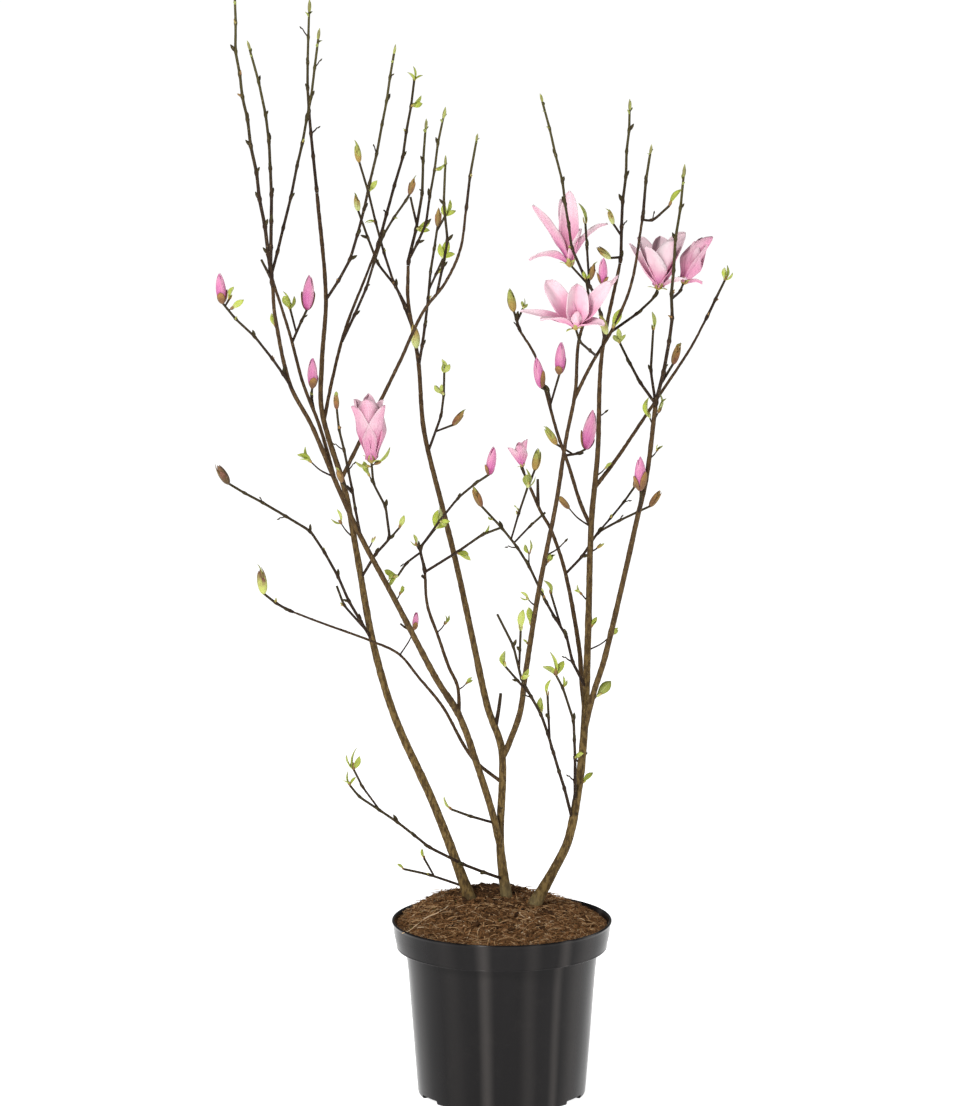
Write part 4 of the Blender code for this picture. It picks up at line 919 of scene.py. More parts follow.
def spur_twig(root, heading, length, radius):
    """A short twig that bends upwards beyond its middle."""
    bend = 0.55
    middle = root + heading * length * bend
    end = middle + lifted(heading, SPUR_UPTURN) * length * (1 - bend)
    line = smooth([root, middle, end], TWIG_STEP)
    thick = [(radius + TWIG_BARK * 0.6) * (1 - 0.3 * share) for share in shares(line)]
    return Twig(line, thick, SPUR_FRESH)


# Meshes

# The values that a mesh carries at each corner for its finish
LAYERS = ("age", "fresh", "scar", "along", "across")


def woody_shape():
    """An empty shape whose corners can carry the values that its finish reads."""
    shape = bmesh.new()
    for name in LAYERS:
        shape.verts.layers.float.new(name)
    return shape


class Pile:
    """Shapes of one kind that are joined into one piece."""

    def __init__(self, shape=None):
        self.shape = woody_shape() if shape is None else shape

    def add(self, part, matrix=Matrix()):
        """Joins a bmesh, which is used up, or a template mesh, which is kept."""
        mesh = template(part) if isinstance(part, bmesh.types.BMesh) else part.copy()
        mesh.transform(matrix)
        self.shape.from_mesh(mesh)
        bpy.data.meshes.remove(mesh)


def template(part):
    """Turns a bmesh, which is used up, into a mesh."""
    mesh = bpy.data.meshes.new("template")
    part.to_mesh(mesh)
    part.free()
    return mesh


def linked(name, data):
    """A new object in the scene."""
    made = bpy.data.objects.new(name, data)
    bpy.context.scene.collection.objects.link(made)
    return made


def piece(name, shape, materials, nodes, smooth_angle=None):
    """Makes a finished piece, which rides on the plant and stands in for the nodes that are named."""
    mesh = template(shape)
    mesh.name = name
    for material in materials:
        mesh.materials.append(material)
    mesh.shade_smooth()
    if smooth_angle:
        mesh.set_sharp_from_angle(angle=smooth_angle)
    made = linked(name, mesh)
    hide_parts(*nodes)
    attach(made, "root")
    return made


def frames_along(points):
    """A matrix at each point, with Z along the line and no twist from one to the next."""
    headings = headings_along(points)
    turn = headings[0].to_track_quat("Z", "Y")
    frames = []
    for number, heading in enumerate(headings):
        if number:
            turn = headings[number - 1].rotation_difference(heading) @ turn
        frames.append(Matrix.Translation(points[number]) @ turn.to_matrix().to_4x4())
    return frames


def sweep(points, radii, sides, values, relief=0.0, grain=0.0):
    """A closed tube along the points, with its bark's relief and the values of its layers at each point."""
    shape = woody_shape()
    layers = shape.verts.layers.float
    frames = frames_along(points)
    now = frames[0] @ Matrix.Scale(radii[0], 4)
    ring = bmesh.ops.create_circle(shape, cap_ends=True, segments=sides, radius=1, matrix=now)["verts"]
    edges = list({edge for corner in ring for edge in corner.link_edges})
    rings = [ring]
    for frame_now, radius in zip(frames[1:], radii[1:]):
        before, now = now, frame_now @ Matrix.Scale(radius, 4)
        added = bmesh.ops.extrude_edge_only(shape, edges=edges)["geom"]
        ring = [part for part in added if isinstance(part, bmesh.types.BMVert)]
        kept = set(ring)
        edges = [
            part for part in added if isinstance(part, bmesh.types.BMEdge) and kept.issuperset(part.verts)]
        bmesh.ops.transform(shape, matrix=now @ before.inverted(), verts=ring)
        rings.append(ring)
    bmesh.ops.contextual_create(shape, geom=edges)
    for number, (centre, ring) in enumerate(zip(points, rings)):
        for corner in ring:
            for name, run in values.items():
                corner[layers[name]] = run[number]
            if relief:
                out = (corner.co - centre).normalized()
                stretched = Vector((corner.co.x, corner.co.y, corner.co.z * 0.35)) * grain
                corner.co += out * relief * (noise.noise(stretched) + 0.5 * noise.noise(stretched * 2.3))
    bmesh.ops.recalc_face_normals(shape, faces=shape.faces)
    return shape


def bud_radius(height):
    """A bud's radius at a share of its height, as a share of its widest, which is low down."""
    return (max(0, height) ** 0.55 * max(0, 1 - height) ** 0.8) / 0.4


def ovoid(length, width, sides, rings):
    """A closed bud along Z, with its foot at the origin."""
    shape = woody_shape()
    along = shape.verts.layers.float["along"]
    bmesh.ops.create_uvsphere(shape, u_segments=sides, v_segments=rings, radius=1)
    for corner in shape.verts:
        height = (corner.co.z + 1) / 2
        flat = Vector((corner.co.x, corner.co.y, 0))
        if flat.length > TINY:
            flat = flat.normalized() * bud_radius(height) * width / 2
        corner[along] = height
        corner.co = flat + Vector((0, 0, height * length))
    return shape


def sheet(columns, rows):
    """A flat grid, with its layers for how far along and across it each corner lies."""
    shape = woody_shape()
    bmesh.ops.create_grid(shape, x_segments=columns, y_segments=rows, size=1)
    return shape, shape.verts.layers.float["along"], shape.verts.layers.float["across"]


def wrapped(
        length, width, turn, *, high, lift, wall, low=0.02, spread=1.15, twist=0.2, blunt=2.4, cells=(6, 8)):
    """A scale or petal that hugs a bud of that length and width from low to high, as shares of its length.

    Turn, spread and twist are in radians. It stands off the bud by the lift at its tip.
    """
    shape, along, across = sheet(*cells)
    for corner in shape.verts:
        side, share = corner.co.x, (corner.co.y + 1) / 2
        height = low + (high - low) * share
        outline = max(0.02, 1 - share ** blunt) ** 0.6
        angle = turn + spread * side * outline + twist * share
        radius = bud_radius(height) * width / 2 + lift * share ** 2 + wall * (0.6 - 0.5 * abs(side))
        corner[along], corner[across] = share, side
        corner.co = Vector((math.cos(angle) * radius, math.sin(angle) * radius, height * length))
    thicken(shape, wall)
    return shape


def thicken(shape, wall):
    """Gives a sheet its wall."""
    bmesh.ops.recalc_face_normals(shape, faces=shape.faces)
    bmesh.ops.solidify(shape, geom=shape.faces[:], thickness=wall)
    bmesh.ops.recalc_face_normals(shape, faces=shape.faces)


def leaf_shape(width, fold, curl, blunt):
    """A young leaf of length 1 along Z, widest beyond its middle, folded along its midrib and curled back."""
    columns, rows = 4, 6
    shape, along, across = sheet(columns, rows)
    spine = [Vector((0, 0, 0))]
    for row in range(rows):
        bend = curl * ((row + 0.5) / rows) ** 1.4
        spine.append(spine[-1] + Vector((0, -math.sin(bend), math.cos(bend))) / rows)
    for corner in shape.verts:
        side = corner.co.x
        row = round((corner.co.y + 1) / 2 * rows)
        share = row / rows
        half = width / 2 * max(0.05, math.sin(math.pi * share ** blunt)) ** 0.8
        open_by = fold * (1 - 0.45 * share)
        corner[along], corner[across] = share, side
        flat, raised = side * half * math.cos(open_by), abs(side) * half * math.sin(open_by)
        corner.co = spine[row] + Vector((flat, raised, 0))
    thicken(shape, LEAF_WALL)
    return shape


class Tepal(NamedTuple):
    """A petal. Its turn, leans and roll are in degrees, its length and width shares of the blossom's size."""

    turn: float
    length: float
    width: float
    foot: float
    tip: float
    cup: float
    roll: float
    blunt: float


def tepal_shape(tepal, axis, size, settings):
    """A broad strap that leaves the foot of the flower, bends outwards and rounds off at its tip."""
    rows, columns = 20, 10
    shape, along, across = sheet(columns, rows)
    length = tepal.length * size
    turn = math.radians(tepal.turn)
    side_way = Vector((math.cos(turn), math.sin(turn), 0))
    outward = (side_way - axis * side_way.dot(axis)).normalized()
    spine = [outward * 1.6 * MM]
    normals, sideways = [], []
    for row in range(rows):
        share = (row + 0.5) / rows
        lean = math.radians(tepal.foot + (tepal.tip - tepal.foot) * smoothstep(share))
        course = axis * math.cos(lean) + outward * math.sin(lean)
        roll = Matrix.Rotation(math.radians(tepal.roll) * min(1, share * 3), 3, course)
        normals.append(roll @ (axis * math.sin(lean) - outward * math.cos(lean)).normalized())
        sideways.append(roll @ axis.cross(outward).normalized())
        spine.append(spine[-1] + course * length / rows)
    normals.append(normals[-1])
    sideways.append(sideways[-1])
    seed = Vector((tepal.turn * 0.13, tepal.length * 7.1, tepal.tip * 0.21))
    for corner in shape.verts:
        side = corner.co.x
        row = round((corner.co.y + 1) / 2 * rows)
        share = row / rows
        half = tepal.width * size / 2 * tepal_outline(share, tepal.blunt)
        ripple = noise.noise(seed + Vector((side * 1.3, share * 3.2, 0))) * settings.ripple * size
        groove = -0.05 * half * math.exp(-(side / 0.16) ** 2)
        cup = tepal.cup * half * side ** 2 * (1.15 - 0.5 * share)
        place = spine[row] + sideways[row] * side * half * math.cos(0.5 * tepal.cup * abs(side))
        corner[along], corner[across] = share, side
        corner.co = place + normals[row] * (cup + groove + ripple * share)
    thicken(shape, settings.tepal_wall)
    for face in shape.faces:
        share = sum(corner[along] for corner in face.verts) / len(face.verts)
        inner = face.normal.dot(normals[round(share * rows)]) > 0.2
        face.material_index = 1 if inner else 0
    return shape


def smoothstep(share):
    return share * share * (3 - 2 * share)


def tepal_outline(share, blunt):
    """Half-width along a petal: a claw, a broad blade and a point, the blunter the higher the power."""
    claw = 0.40 + 0.66 * smoothstep(min(1, share / 0.45))
    return claw * math.sqrt(max(0.003, 1 - share ** blunt))


# Petals of each blossom, as turn, length, width, lean at the foot and at the tip, cup, roll and bluntness
PETALS = {
    "open_up": (
        Tepal(190, 1.16, 0.22, 24, 35, 0.5, 45, 2.4),
        Tepal(124, 1.06, 0.26, 12, 13, 0.5, 0, 3.4),
        Tepal(78, 1.20, 0.34, 4, 1, 0.6, 0, 4.0),
        Tepal(345, 0.62, 0.26, 12, 22, 0.7, 0, 3.0),
        Tepal(16, 0.90, 0.26, 26, 64, 0.6, -35, 2.8),
        Tepal(200, 0.74, 0.20, 50, 104, 0.6, 40, 2.4),
        Tepal(100, 0.84, 0.26, 18, 30, 0.7, 0, 3.0),
    ),
    "open": (
        Tepal(160, 1.08, 0.38, 30, 38, 0.6, -48, 7.0),
        Tepal(98, 0.88, 0.44, 6, 14, 0.8, 0, 6.0),
        Tepal(24, 1.10, 0.32, 30, 40, 0.6, 45, 4.0),
        Tepal(186, 1.12, 0.18, 56, 84, 0.6, -35, 2.4),
        Tepal(204, 0.80, 0.22, 48, 78, 0.7, 25, 3.0),
        Tepal(345, 0.56, 0.26, 52, 88, 0.7, 0, 4.0),
        Tepal(40, 1.24, 0.15, 44, 52, 0.6, 30, 2.4),
        Tepal(310, 0.42, 0.34, 40, -46, 1.5, 0, 5.0),
        Tepal(240, 0.42, 0.34, 36, -50, 1.5, 0, 5.0),
    ),
    "half": (
        Tepal(300, 0.95, 0.48, 22, 14, 0.9, 0, 3.6),
        Tepal(28, 1.02, 0.44, 16, 26, 0.7, 20, 3.2),
        Tepal(226, 0.86, 0.42, 31, 26, 0.8, 0, 3.4),
        Tepal(186, 0.90, 0.26, 42, 34, 0.6, -30, 2.8),
        Tepal(108, 0.86, 0.48, 12, 16, 0.7, 0, 4.0),
        Tepal(156, 0.90, 0.40, 26, 36, 0.7, -20, 3.6),
        Tepal(5, 0.48, 0.22, 60, 72, 0.5, -25, 3.0),
    ),
    "goblet": (
        Tepal(290, 0.96, 0.50, 14, -2, 1.1, 0, 4.0),
        Tepal(205, 0.86, 0.46, 20, -2, 1.1, 0, 5.0),
        Tepal(20, 1.04, 0.46, 12, 3, 1.0, 0, 3.6),
        Tepal(100, 0.94, 0.42, 12, 0, 1.0, 0, 4.0),
        Tepal(335, 1.07, 0.48, 12, 1, 1.1, 0, 3.8),
        Tepal(5, 0.34, 0.16, 60, 74, 0.6, -30, 3.0),
    ),
    "tulip": (
        Tepal(262, 1.05, 0.54, 14, 1, 1.0, 0, 3.4),
        Tepal(204, 0.97, 0.44, 21, 9, 0.9, 0, 2.6),
        Tepal(335, 0.96, 0.46, 21, 10, 0.9, 0, 2.6),
        Tepal(92, 1.08, 0.46, 12, 3, 1.0, 0, 2.4),
        Tepal(32, 0.99, 0.42, 18, 11, 1.0, 0, 2.2),
        Tepal(150, 1.02, 0.42, 17, 9, 1.0, 0, 2.2),
    ),
    "small": (
        Tepal(262, 0.84, 0.46, 16, 8, 1.0, 0, 4.5),
        Tepal(195, 0.86, 0.46, 34, 26, 0.9, 20, 5.0),
        Tepal(350, 1.00, 0.36, 16, 12, 0.9, -20, 3.4),
        Tepal(100, 0.85, 0.46, 14, 8, 0.9, 0, 4.0),
        Tepal(45, 0.90, 0.40, 16, 12, 0.9, 0, 4.0),
    ),
}

# How deep the pink of each blossom is, from 0, near white, to 1, magenta
DEPTHS = {"open_up": 0.56, "open": 0.50, "half": 0.38, "goblet": 0.77, "tulip": 0.70, "small": 0.74}

# A bud is plumper from the first length on, has only two scales below the second and may show a leaf
# above the third
LARGE_BUD, SMALL_BUD, LEAFY_BUD = 0.031, 0.016, 0.018

# How far each scale or rolled petal is turned from the one before, and the small parts of a blossom
SCALE_TURN, PETAL_TURN = math.radians(137), math.radians(125)
STAMENS = 9
HUSKS = 3
FEW_CELLS = (4, 5)

# Which way each blossom faces
AXES = {
    "open": Vector((0.05, -0.42, 0.90)),
    "open_up": Vector((-0.02, -0.10, 1.0)),
    "half": Vector((0.12, -0.10, 1.0)),
    "goblet": Vector((0.40, -0.05, 0.92)),
    "tulip": Vector((-0.04, -0.05, 1.0)),
    "small": Vector((-0.10, -0.10, 1.0)),
}


def tint(shape, fresh):
    """Gives every corner of a shape the same freshness, by which its finish picks its colour."""
    layer = shape.verts.layers.float["fresh"]
    for corner in shape.verts:
        corner[layer] = fresh
    return shape


class Piles:
    """Every kind of foliage and flower, gathered to be joined, each kind apart."""

    def __init__(self, settings):
        self.settings = settings
        self.leaves = {name: Pile() for name in LEAF_TINTS}
        self.buds = {name: Pile() for name in BUD_TINTS}
        self.petals = Pile()
        self.greens = Pile()
        rng = random.Random(SEED)
        self.leaf_templates = [
            template(leaf_shape(
                settings.leaf_width * rng.uniform(0.85, 1.15), math.radians(rng.uniform(8, 50)),
                math.radians(rng.uniform(5, 60)), rng.uniform(1.1, 1.5)))
            for _ in range(LEAF_FORMS)]
        self.rng = rng
        self.makers = {
            "leaf": self.add_leaf, "brown": self.add_brown_bud, "tipped": self.add_brown_bud,
            "bud": self.add_brown_bud, "scale": self.add_scales, "tip": self.add_tip,
            "sheath": self.add_sheath, "pink": self.add_pink_bud, **dict.fromkeys(PETALS, self.add_blossom)}

    @staticmethod
    def spray_name(part):
        """The name of the spray that something grows on, or nothing for a side twig."""
        return SPRAYS[part.spray].name if part.spray < len(SPRAYS) else ""

    def dealt(self, tints, seed, shared):
        """A spray mostly has one tint, dealt out by its seed, with odd ones among it."""
        deal = random.Random(seed).random() * shared + self.rng.random() * (1 - shared)
        return next(name for name, share in tints.items() if deal < share)

    def leaf_tint(self, part):
        return self.dealt(LEAF_TINTS, part.spray * 7 + 3, 0.55)

    def bud_tint(self, part):
        if part.kind in ("brown", "tipped") and self.spray_name(part) in BUD_TINT_OF:
            return BUD_TINT_OF[self.spray_name(part)]
        return self.dealt(BUD_TINTS, part.spray * 11 + 5, 0.6)

    def add(self, part):
        """Makes what grows at one place. The small buds of the next season are made with the twigs."""
        if part.kind != "next":
            self.makers[part.kind](part)

    def some_leaf(self):
        return self.rng.choice(self.leaf_templates)

    def add_leaf(self, part):
        form = self.some_leaf()
        self.leaves[self.leaf_tint(part)].add(form, part.stand(1, part.size))

    def add_brown_bud(self, part):
        """A plump hairy bud in overlapping scales, the newest of which is green at its tip."""
        rng, length = self.rng, part.size
        width = length * (0.30 if length < LARGE_BUD else 0.33)
        if self.spray_name(part) == "bud_far_left":
            part = part._replace(heading=lifted(part.heading * 0.35, 1))
        matrix = part.stand(1.5)
        pile = self.buds[self.bud_tint(part)]
        pile.add(tint(ovoid(length * 0.94, width * 0.86, 10, 8), 0.5), matrix)
        turn = rng.uniform(0, math.tau)
        layers = 2 if length < SMALL_BUD else 4
        for number in range(layers):
            turn += SCALE_TURN
            high = 0.62 + 0.36 * (number / (layers - 1))
            scale = wrapped(
                length * rng.uniform(0.96, 1.04), width, turn, high=high, lift=rng.uniform(0.2, 0.9) * MM,
                twist=rng.uniform(-0.3, 0.3), wall=0.45 * MM)
            pile.add(tint(scale, number / layers), matrix)
        if length > LEAFY_BUD and rng.random() < 0.6 and self.bud_tint(part) != "dark":
            lean = turned(part.heading, rng.uniform(0.02, 0.15), rng.uniform(0, math.tau))
            size = length * rng.uniform(0.45, 0.58)
            place = part.place + part.heading * length * 0.50
            self.leaves["olive"].add(self.some_leaf(), aimed(lean, place, part.roll, size))

    def add_scales(self, part):
        """The opened bud scales at the foot of young leaves."""
        rng, length = self.rng, part.size
        pile = self.buds[self.bud_tint(part)]
        for number in range(2):
            scale = wrapped(
                length, length * 0.42, number * math.pi + rng.uniform(-0.5, 0.5), high=0.86,
                lift=rng.uniform(0.5, 1.6) * MM, wall=0.4 * MM, blunt=2.2, cells=FEW_CELLS)
            pile.add(tint(scale, 0.4), part.stand(1.2))

    def add_sheath(self, part):
        """A folded leaf beside the bud at a shoot's end."""
        self.leaves["olive"].add(self.some_leaf(), part.stand(0, part.size * 0.8))

    def add_tip(self, part):
        """The long bud at a shoot's end."""
        length = part.size
        matrix = part.stand(1.5)
        self.greens.add(tint(ovoid(length, length * 0.24, 8, 8), 0.2), matrix)
        turn = self.rng.uniform(0, 6)
        scale = wrapped(length, length * 0.26, turn, high=0.8, lift=0.4 * MM, wall=0.4 * MM, spread=1.3)
        self.greens.add(tint(scale, 0.5), matrix)

    def add_pink_bud(self, part):
        """A pointed bud of rolled petals, with a split hairy scale or two at its foot."""
        rng, length = self.rng, part.size * self.settings.bud_length
        width = length * 0.30
        matrix = part._replace(heading=lifted(part.heading * 0.45, 1)).stand(1.0)
        depth = rng.uniform(-0.1, 0.1) + 2.05 - length / 0.045
        self.petals.add(tint(ovoid(length * 0.96, width * 0.84, 14, 12), depth), matrix)
        turn = rng.uniform(0, math.tau)
        for number in range(3):
            turn += PETAL_TURN
            petal = wrapped(
                length * rng.uniform(0.96, 1.0), width, turn, high=0.99 - 0.04 * number, lift=0.5 * MM,
                wall=0.5 * MM, spread=1.35, twist=0.55, blunt=3.2, cells=(8, 12))
            self.petals.add(tint(petal, min(1, depth + rng.uniform(-0.15, 0.15))), matrix)
        for number in range(2):
            scale = wrapped(
                length, width * 1.14, turn + 0.6 + number * rng.uniform(1.8, 2.6), low=0.01,
                high=rng.uniform(0.28, 0.56), lift=rng.uniform(0.3, 1.2) * MM, wall=0.6 * MM, spread=1.0,
                twist=0.1, blunt=2.6)
            self.buds["brown"].add(tint(scale, 0.2), matrix)

    def add_blossom(self, part):
        """A blossom's petals, with its green heart and stamens, and young leaves and husks at its foot."""
        size, place = part.size, part.place
        axis = AXES[part.kind].normalized()
        for tepal in PETALS[part.kind]:
            petal = tepal_shape(tepal, axis, size, self.settings)
            depth = DEPTHS[part.kind] + self.rng.uniform(-0.08, 0.08)
            self.petals.add(tint(petal, depth), Matrix.Translation(place))
        foot = place - axis * size * 0.05
        cup = aimed(axis, foot)
        self.greens.add(tint(ovoid(size * 0.17, size * 0.12, 12, 8), 0.9), cup)
        self.greens.add(tint(ovoid(size * 0.26, size * 0.085, 10, 8), 0.7), aimed(axis, place))
        for number in range(STAMENS):
            stamen = aimed(turned(axis, 0.30, number * math.tau / STAMENS), place + axis * size * 0.02)
            self.petals.add(tint(ovoid(size * 0.15, size * 0.022, 5, 4), 0.95), stamen)
        for number in range(HUSKS):
            lean = turned(axis, self.rng.uniform(0.5, 1.1), number * math.tau / HUSKS + 0.6)
            self.leaves["pale"].add(self.some_leaf(), aimed(lean, foot, size=size * 0.21))
            husk = wrapped(
                size * 0.24, size * 0.15, number * 2.1 + self.rng.random(), high=0.8, lift=1.2 * MM,
                wall=0.5 * MM, spread=0.9, cells=FEW_CELLS)
            self.buds["ochre"].add(tint(husk, 0.4), cup)


# Finishes


class Wire:
    """A socket of a shader, on which Python's operators add Math nodes."""

    def __init__(self, finish, socket):
        self.finish = finish
        self.socket = socket

    def joined(self, operation, first, second):
        return self.finish.node("ShaderNodeMath", {"operation": operation}, {0: first, 1: second})

    def __add__(self, other):
        return self.joined("ADD", self, other)

    def __sub__(self, other):
        return self.joined("SUBTRACT", self, other)

    def __rsub__(self, other):
        return self.joined("SUBTRACT", other, self)

    def __mul__(self, other):
        return self.joined("MULTIPLY", self, other)

    def __abs__(self):
        return self.joined("ABSOLUTE", self, 0)

    def sine(self):
        return self.joined("SINE", self, 0)

    __radd__ = __add__
    __rmul__ = __mul__

    def smooth_step(self, low, high):
        """0 below low and 1 above high, with a soft ramp between them."""
        settings = {"interpolation_type": "SMOOTHSTEP"}
        return self.finish.node("ShaderNodeMapRange", settings, {0: self, 1: low, 2: high, 3: 0, 4: 1})


class Finish:
    """A material under construction round its Principled shader."""

    def __init__(self, name):
        self.material = bpy.data.materials.new(name)
        self.material.use_nodes = True
        self.tree = self.material.node_tree
        self.shader = self.tree.nodes["Principled BSDF"]

    def plug(self, socket, value):
        if isinstance(value, Wire):
            self.tree.links.new(value.socket, socket)
        elif socket.type == "RGBA":
            socket.default_value = (*value, 1)[:4]
        else:
            socket.default_value = value

    def node(self, kind, settings=None, inputs=None, output=0):
        """Adds a node: its settings and a ramp's stops first, then its sockets."""
        made = self.tree.nodes.new(kind)
        for name, value in (settings or {}).items():
            if name == "stops":
                for stop, (place, colour) in zip(self.stops(made, len(value)), value):
                    stop.position = place
                    stop.color = (*colour, 1)[:4]
            else:
                setattr(made, name, value)
        for name, value in (inputs or {}).items():
            self.plug(made.inputs[name], value)
        return Wire(self, made.outputs[output])

    @staticmethod
    def stops(ramp, count):
        while len(ramp.color_ramp.elements) < count:
            ramp.color_ramp.elements.new(0.5)
        return ramp.color_ramp.elements

    def place(self, scale=(1, 1, 1)):
        """Object coordinates, stretched by a Mapping node."""
        object_place = self.node("ShaderNodeTexCoord", output="Object")
        return self.node("ShaderNodeMapping", inputs={"Vector": object_place, "Scale": scale})

    def noise(self, vector, scale, detail=3.0, roughness=0.55, distortion=0.0):
        return self.node("ShaderNodeTexNoise", inputs={
            "Vector": vector, "Scale": scale, "Detail": detail, "Roughness": roughness,
            "Distortion": distortion})

    def cells(self, vector, scale, output="Distance"):
        return self.node("ShaderNodeTexVoronoi", None, {"Vector": vector, "Scale": scale}, output)

    def values(self, *names):
        """Values that a mesh carries at each corner."""
        return [
            self.node("ShaderNodeAttribute", {"attribute_name": name}, output="Fac") for name in names]

    def mix(self, share, first, second):
        """A mix of two colours."""
        return self.node("ShaderNodeMix", {"data_type": "RGBA"}, {0: share, 6: first, 7: second}, 2)

    def ramp(self, value, *stops):
        return self.node("ShaderNodeValToRGB", {"stops": stops}, {0: value})

    def bump(self, height, strength, distance):
        inputs = {"Height": height, "Strength": strength, "Distance": distance}
        return self.node("ShaderNodeBump", inputs=inputs)

    def done(self, colour, rough, specular, **more):
        """Sets the shader's sockets, those besides the first three by names with underscores for spaces."""
        sockets = {"Base Color": colour, "Roughness": rough, "Specular IOR Level": specular}
        sockets.update({name.replace("_", " "): value for name, value in more.items()})
        for name, value in sockets.items():
            self.plug(self.shader.inputs[name], value)
        return self.material


def bark_finish(settings):
    """Olive-brown bark: darker and more purple on young wood, grey-olive at the foot, pitted and ringed."""
    finish = Finish("bark")
    age, fresh, scar = finish.values("age", "fresh", "scar")
    streaks = finish.noise(finish.place((1, 1, 0.28)), 420, 5, 0.62)
    blotches = finish.noise(finish.place((1, 1, 0.35)), 290, 4, 0.55)
    young = finish.mix(streaks.smooth_step(0.35, 0.7), settings.twig, settings.twig_light)
    middle = finish.mix(streaks.smooth_step(0.3, 0.75), settings.bough, settings.bough_light)
    old = finish.mix(blotches.smooth_step(0.40, 0.60), settings.stem, settings.stem_light)
    colour = finish.mix(age.smooth_step(0.0, 0.5), young, middle)
    colour = finish.mix(age.smooth_step(0.45, 1.0), colour, old)
    colour = finish.mix(age.smooth_step(1.15, 1.6), colour, settings.foot)
    colour = finish.mix(fresh * 0.8, colour, settings.shoot)
    pores = finish.cells(finish.place((1, 1, 0.5)), 330)
    dots = 1 - pores.smooth_step(0.10, 0.24)
    colour = finish.mix(dots * 0.55, colour, settings.lenticel)
    dark = (streaks * 0.6 + blotches * 0.4).smooth_step(0.56, 0.36)
    colour = finish.mix(dark * 0.35, colour, settings.crack)
    colour = finish.mix(scar * 0.75, colour, settings.crack)
    height = streaks * 0.55 + blotches * 0.35 + dots * 0.5
    return finish.done(colour, 0.50 + streaks * 0.28, 0.08, Normal=finish.bump(height, 0.55, 0.0006))


def leaf_finish(name, face, shade, settings):
    """A young leaf: fine side veins, a paler midrib, a soft waxy sheen."""
    finish = Finish(name)
    along, across = finish.values("along", "across")
    side = abs(across)
    veins = (along * 46 - side * 13).sine().smooth_step(0.82, 1.0)
    midrib = 1 - side.smooth_step(0.02, 0.16)
    clouds = finish.noise(finish.place(), 160, 3)
    colour = finish.mix(clouds.smooth_step(0.3, 0.7), shade, face)
    colour = finish.mix(veins * 0.22, colour, settings.vein)
    colour = finish.mix(midrib * 0.45, colour, settings.vein)
    edge = (side * along).smooth_step(0.62, 0.98)
    colour = finish.mix(edge * 0.25, colour, settings.edge)
    normal = finish.bump(veins * 0.5 + midrib + clouds * 0.2, 0.5, 0.0004)
    return finish.done(
        colour, 0.42 + clouds * 0.16, 0.4, Normal=normal, Sheen_Weight=0.12, Sheen_Roughness=0.4)


def bud_finish(name, base, tip, settings):
    """A hairy bud: fine silky hairs that run to its point, darker scale edges and a greener tip."""
    finish = Finish(name)
    along, across, fresh = finish.values("along", "across", "fresh")
    hairs = finish.noise(finish.place((1, 1, 0.16)), 1500, 3, 0.6)
    clouds = finish.noise(finish.place(), 190, 2)
    colour = finish.mix((along + clouds * 0.6 - 0.3).smooth_step(0.25, 0.95), base, tip)
    colour = finish.mix(fresh * 0.3, colour, settings.green_tip)
    colour = finish.mix(hairs.smooth_step(0.45, 0.72) * 0.20, colour, settings.hair)
    rim = abs(across).smooth_step(0.80, 1.0)
    colour = finish.mix(rim * 0.5, colour, settings.scale_edge)
    normal = finish.bump(hairs + clouds * 0.3, 0.6, 0.0004)
    return finish.done(
        colour, 0.72 + hairs * 0.2, 0.1, Normal=normal, Sheen_Weight=0.10, Sheen_Roughness=0.45)


def petal_values(finish, fade):
    """A petal's values along, across and fresh, with its clouds and the veins that fade towards its tip."""
    along, across, fresh = finish.values("along", "across", "fresh")
    clouds = finish.noise(finish.place(), 70, 2)
    streaks = (across * 15 + clouds * 4).sine()
    veins = streaks.smooth_step(fade, 1.0) * (1 - along.smooth_step(fade, 0.98))
    return along, across, fresh, clouds, veins


def petal_finish(settings):
    """The petals' outside: magenta at the foot and along the middle, paler towards tip and edges."""
    finish = Finish("petal_outside")
    along, across, fresh, clouds, veins = petal_values(finish, 0.55)
    rise = (1 - along.smooth_step(0.0, 0.72)) * (1.45 - fresh) * 0.62
    deep = fresh * 0.85 + rise - across * across * 0.26 + (clouds - 0.5) * 0.40 - 0.14
    colour = finish.ramp(
        deep, (0.0, settings.petal_white), (0.28, settings.petal_pale), (0.58, settings.petal_pink),
        (0.86, settings.petal_deep), (1.0, settings.petal_magenta))
    colour = finish.mix(veins * fresh * fresh * 0.28, colour, settings.petal_magenta)
    foot = 1 - along.smooth_step(0.0, 0.10)
    colour = finish.mix(foot * 0.5, colour, settings.petal_magenta)
    normal = finish.bump(veins * 0.6 + clouds * 0.4, 0.10, 0.0005)
    return finish.done(
        colour, 0.50 + clouds * 0.12, 0.2, Normal=normal, Sheen_Weight=0.05, Sheen_Roughness=0.4)


def petal_inside_finish(settings):
    """The petals' inside: near white, with a breath of pink and the veins showing through."""
    finish = Finish("petal_inside")
    along, _, fresh, clouds, veins = petal_values(finish, 0.6)
    low = 1 - along.smooth_step(0.1, 0.85)
    blush = (fresh * 0.45 + low * 0.72 + clouds * 0.35).smooth_step(0.14, 1.0)
    colour = finish.mix(blush, settings.petal_white, settings.petal_pink)
    colour = finish.mix(veins * 0.10, colour, settings.petal_deep)
    return finish.done(
        colour, 0.52 + clouds * 0.1, 0.2, Normal=finish.bump(veins, 0.10, 0.0004), Sheen_Weight=0.05,
        Sheen_Roughness=0.4)


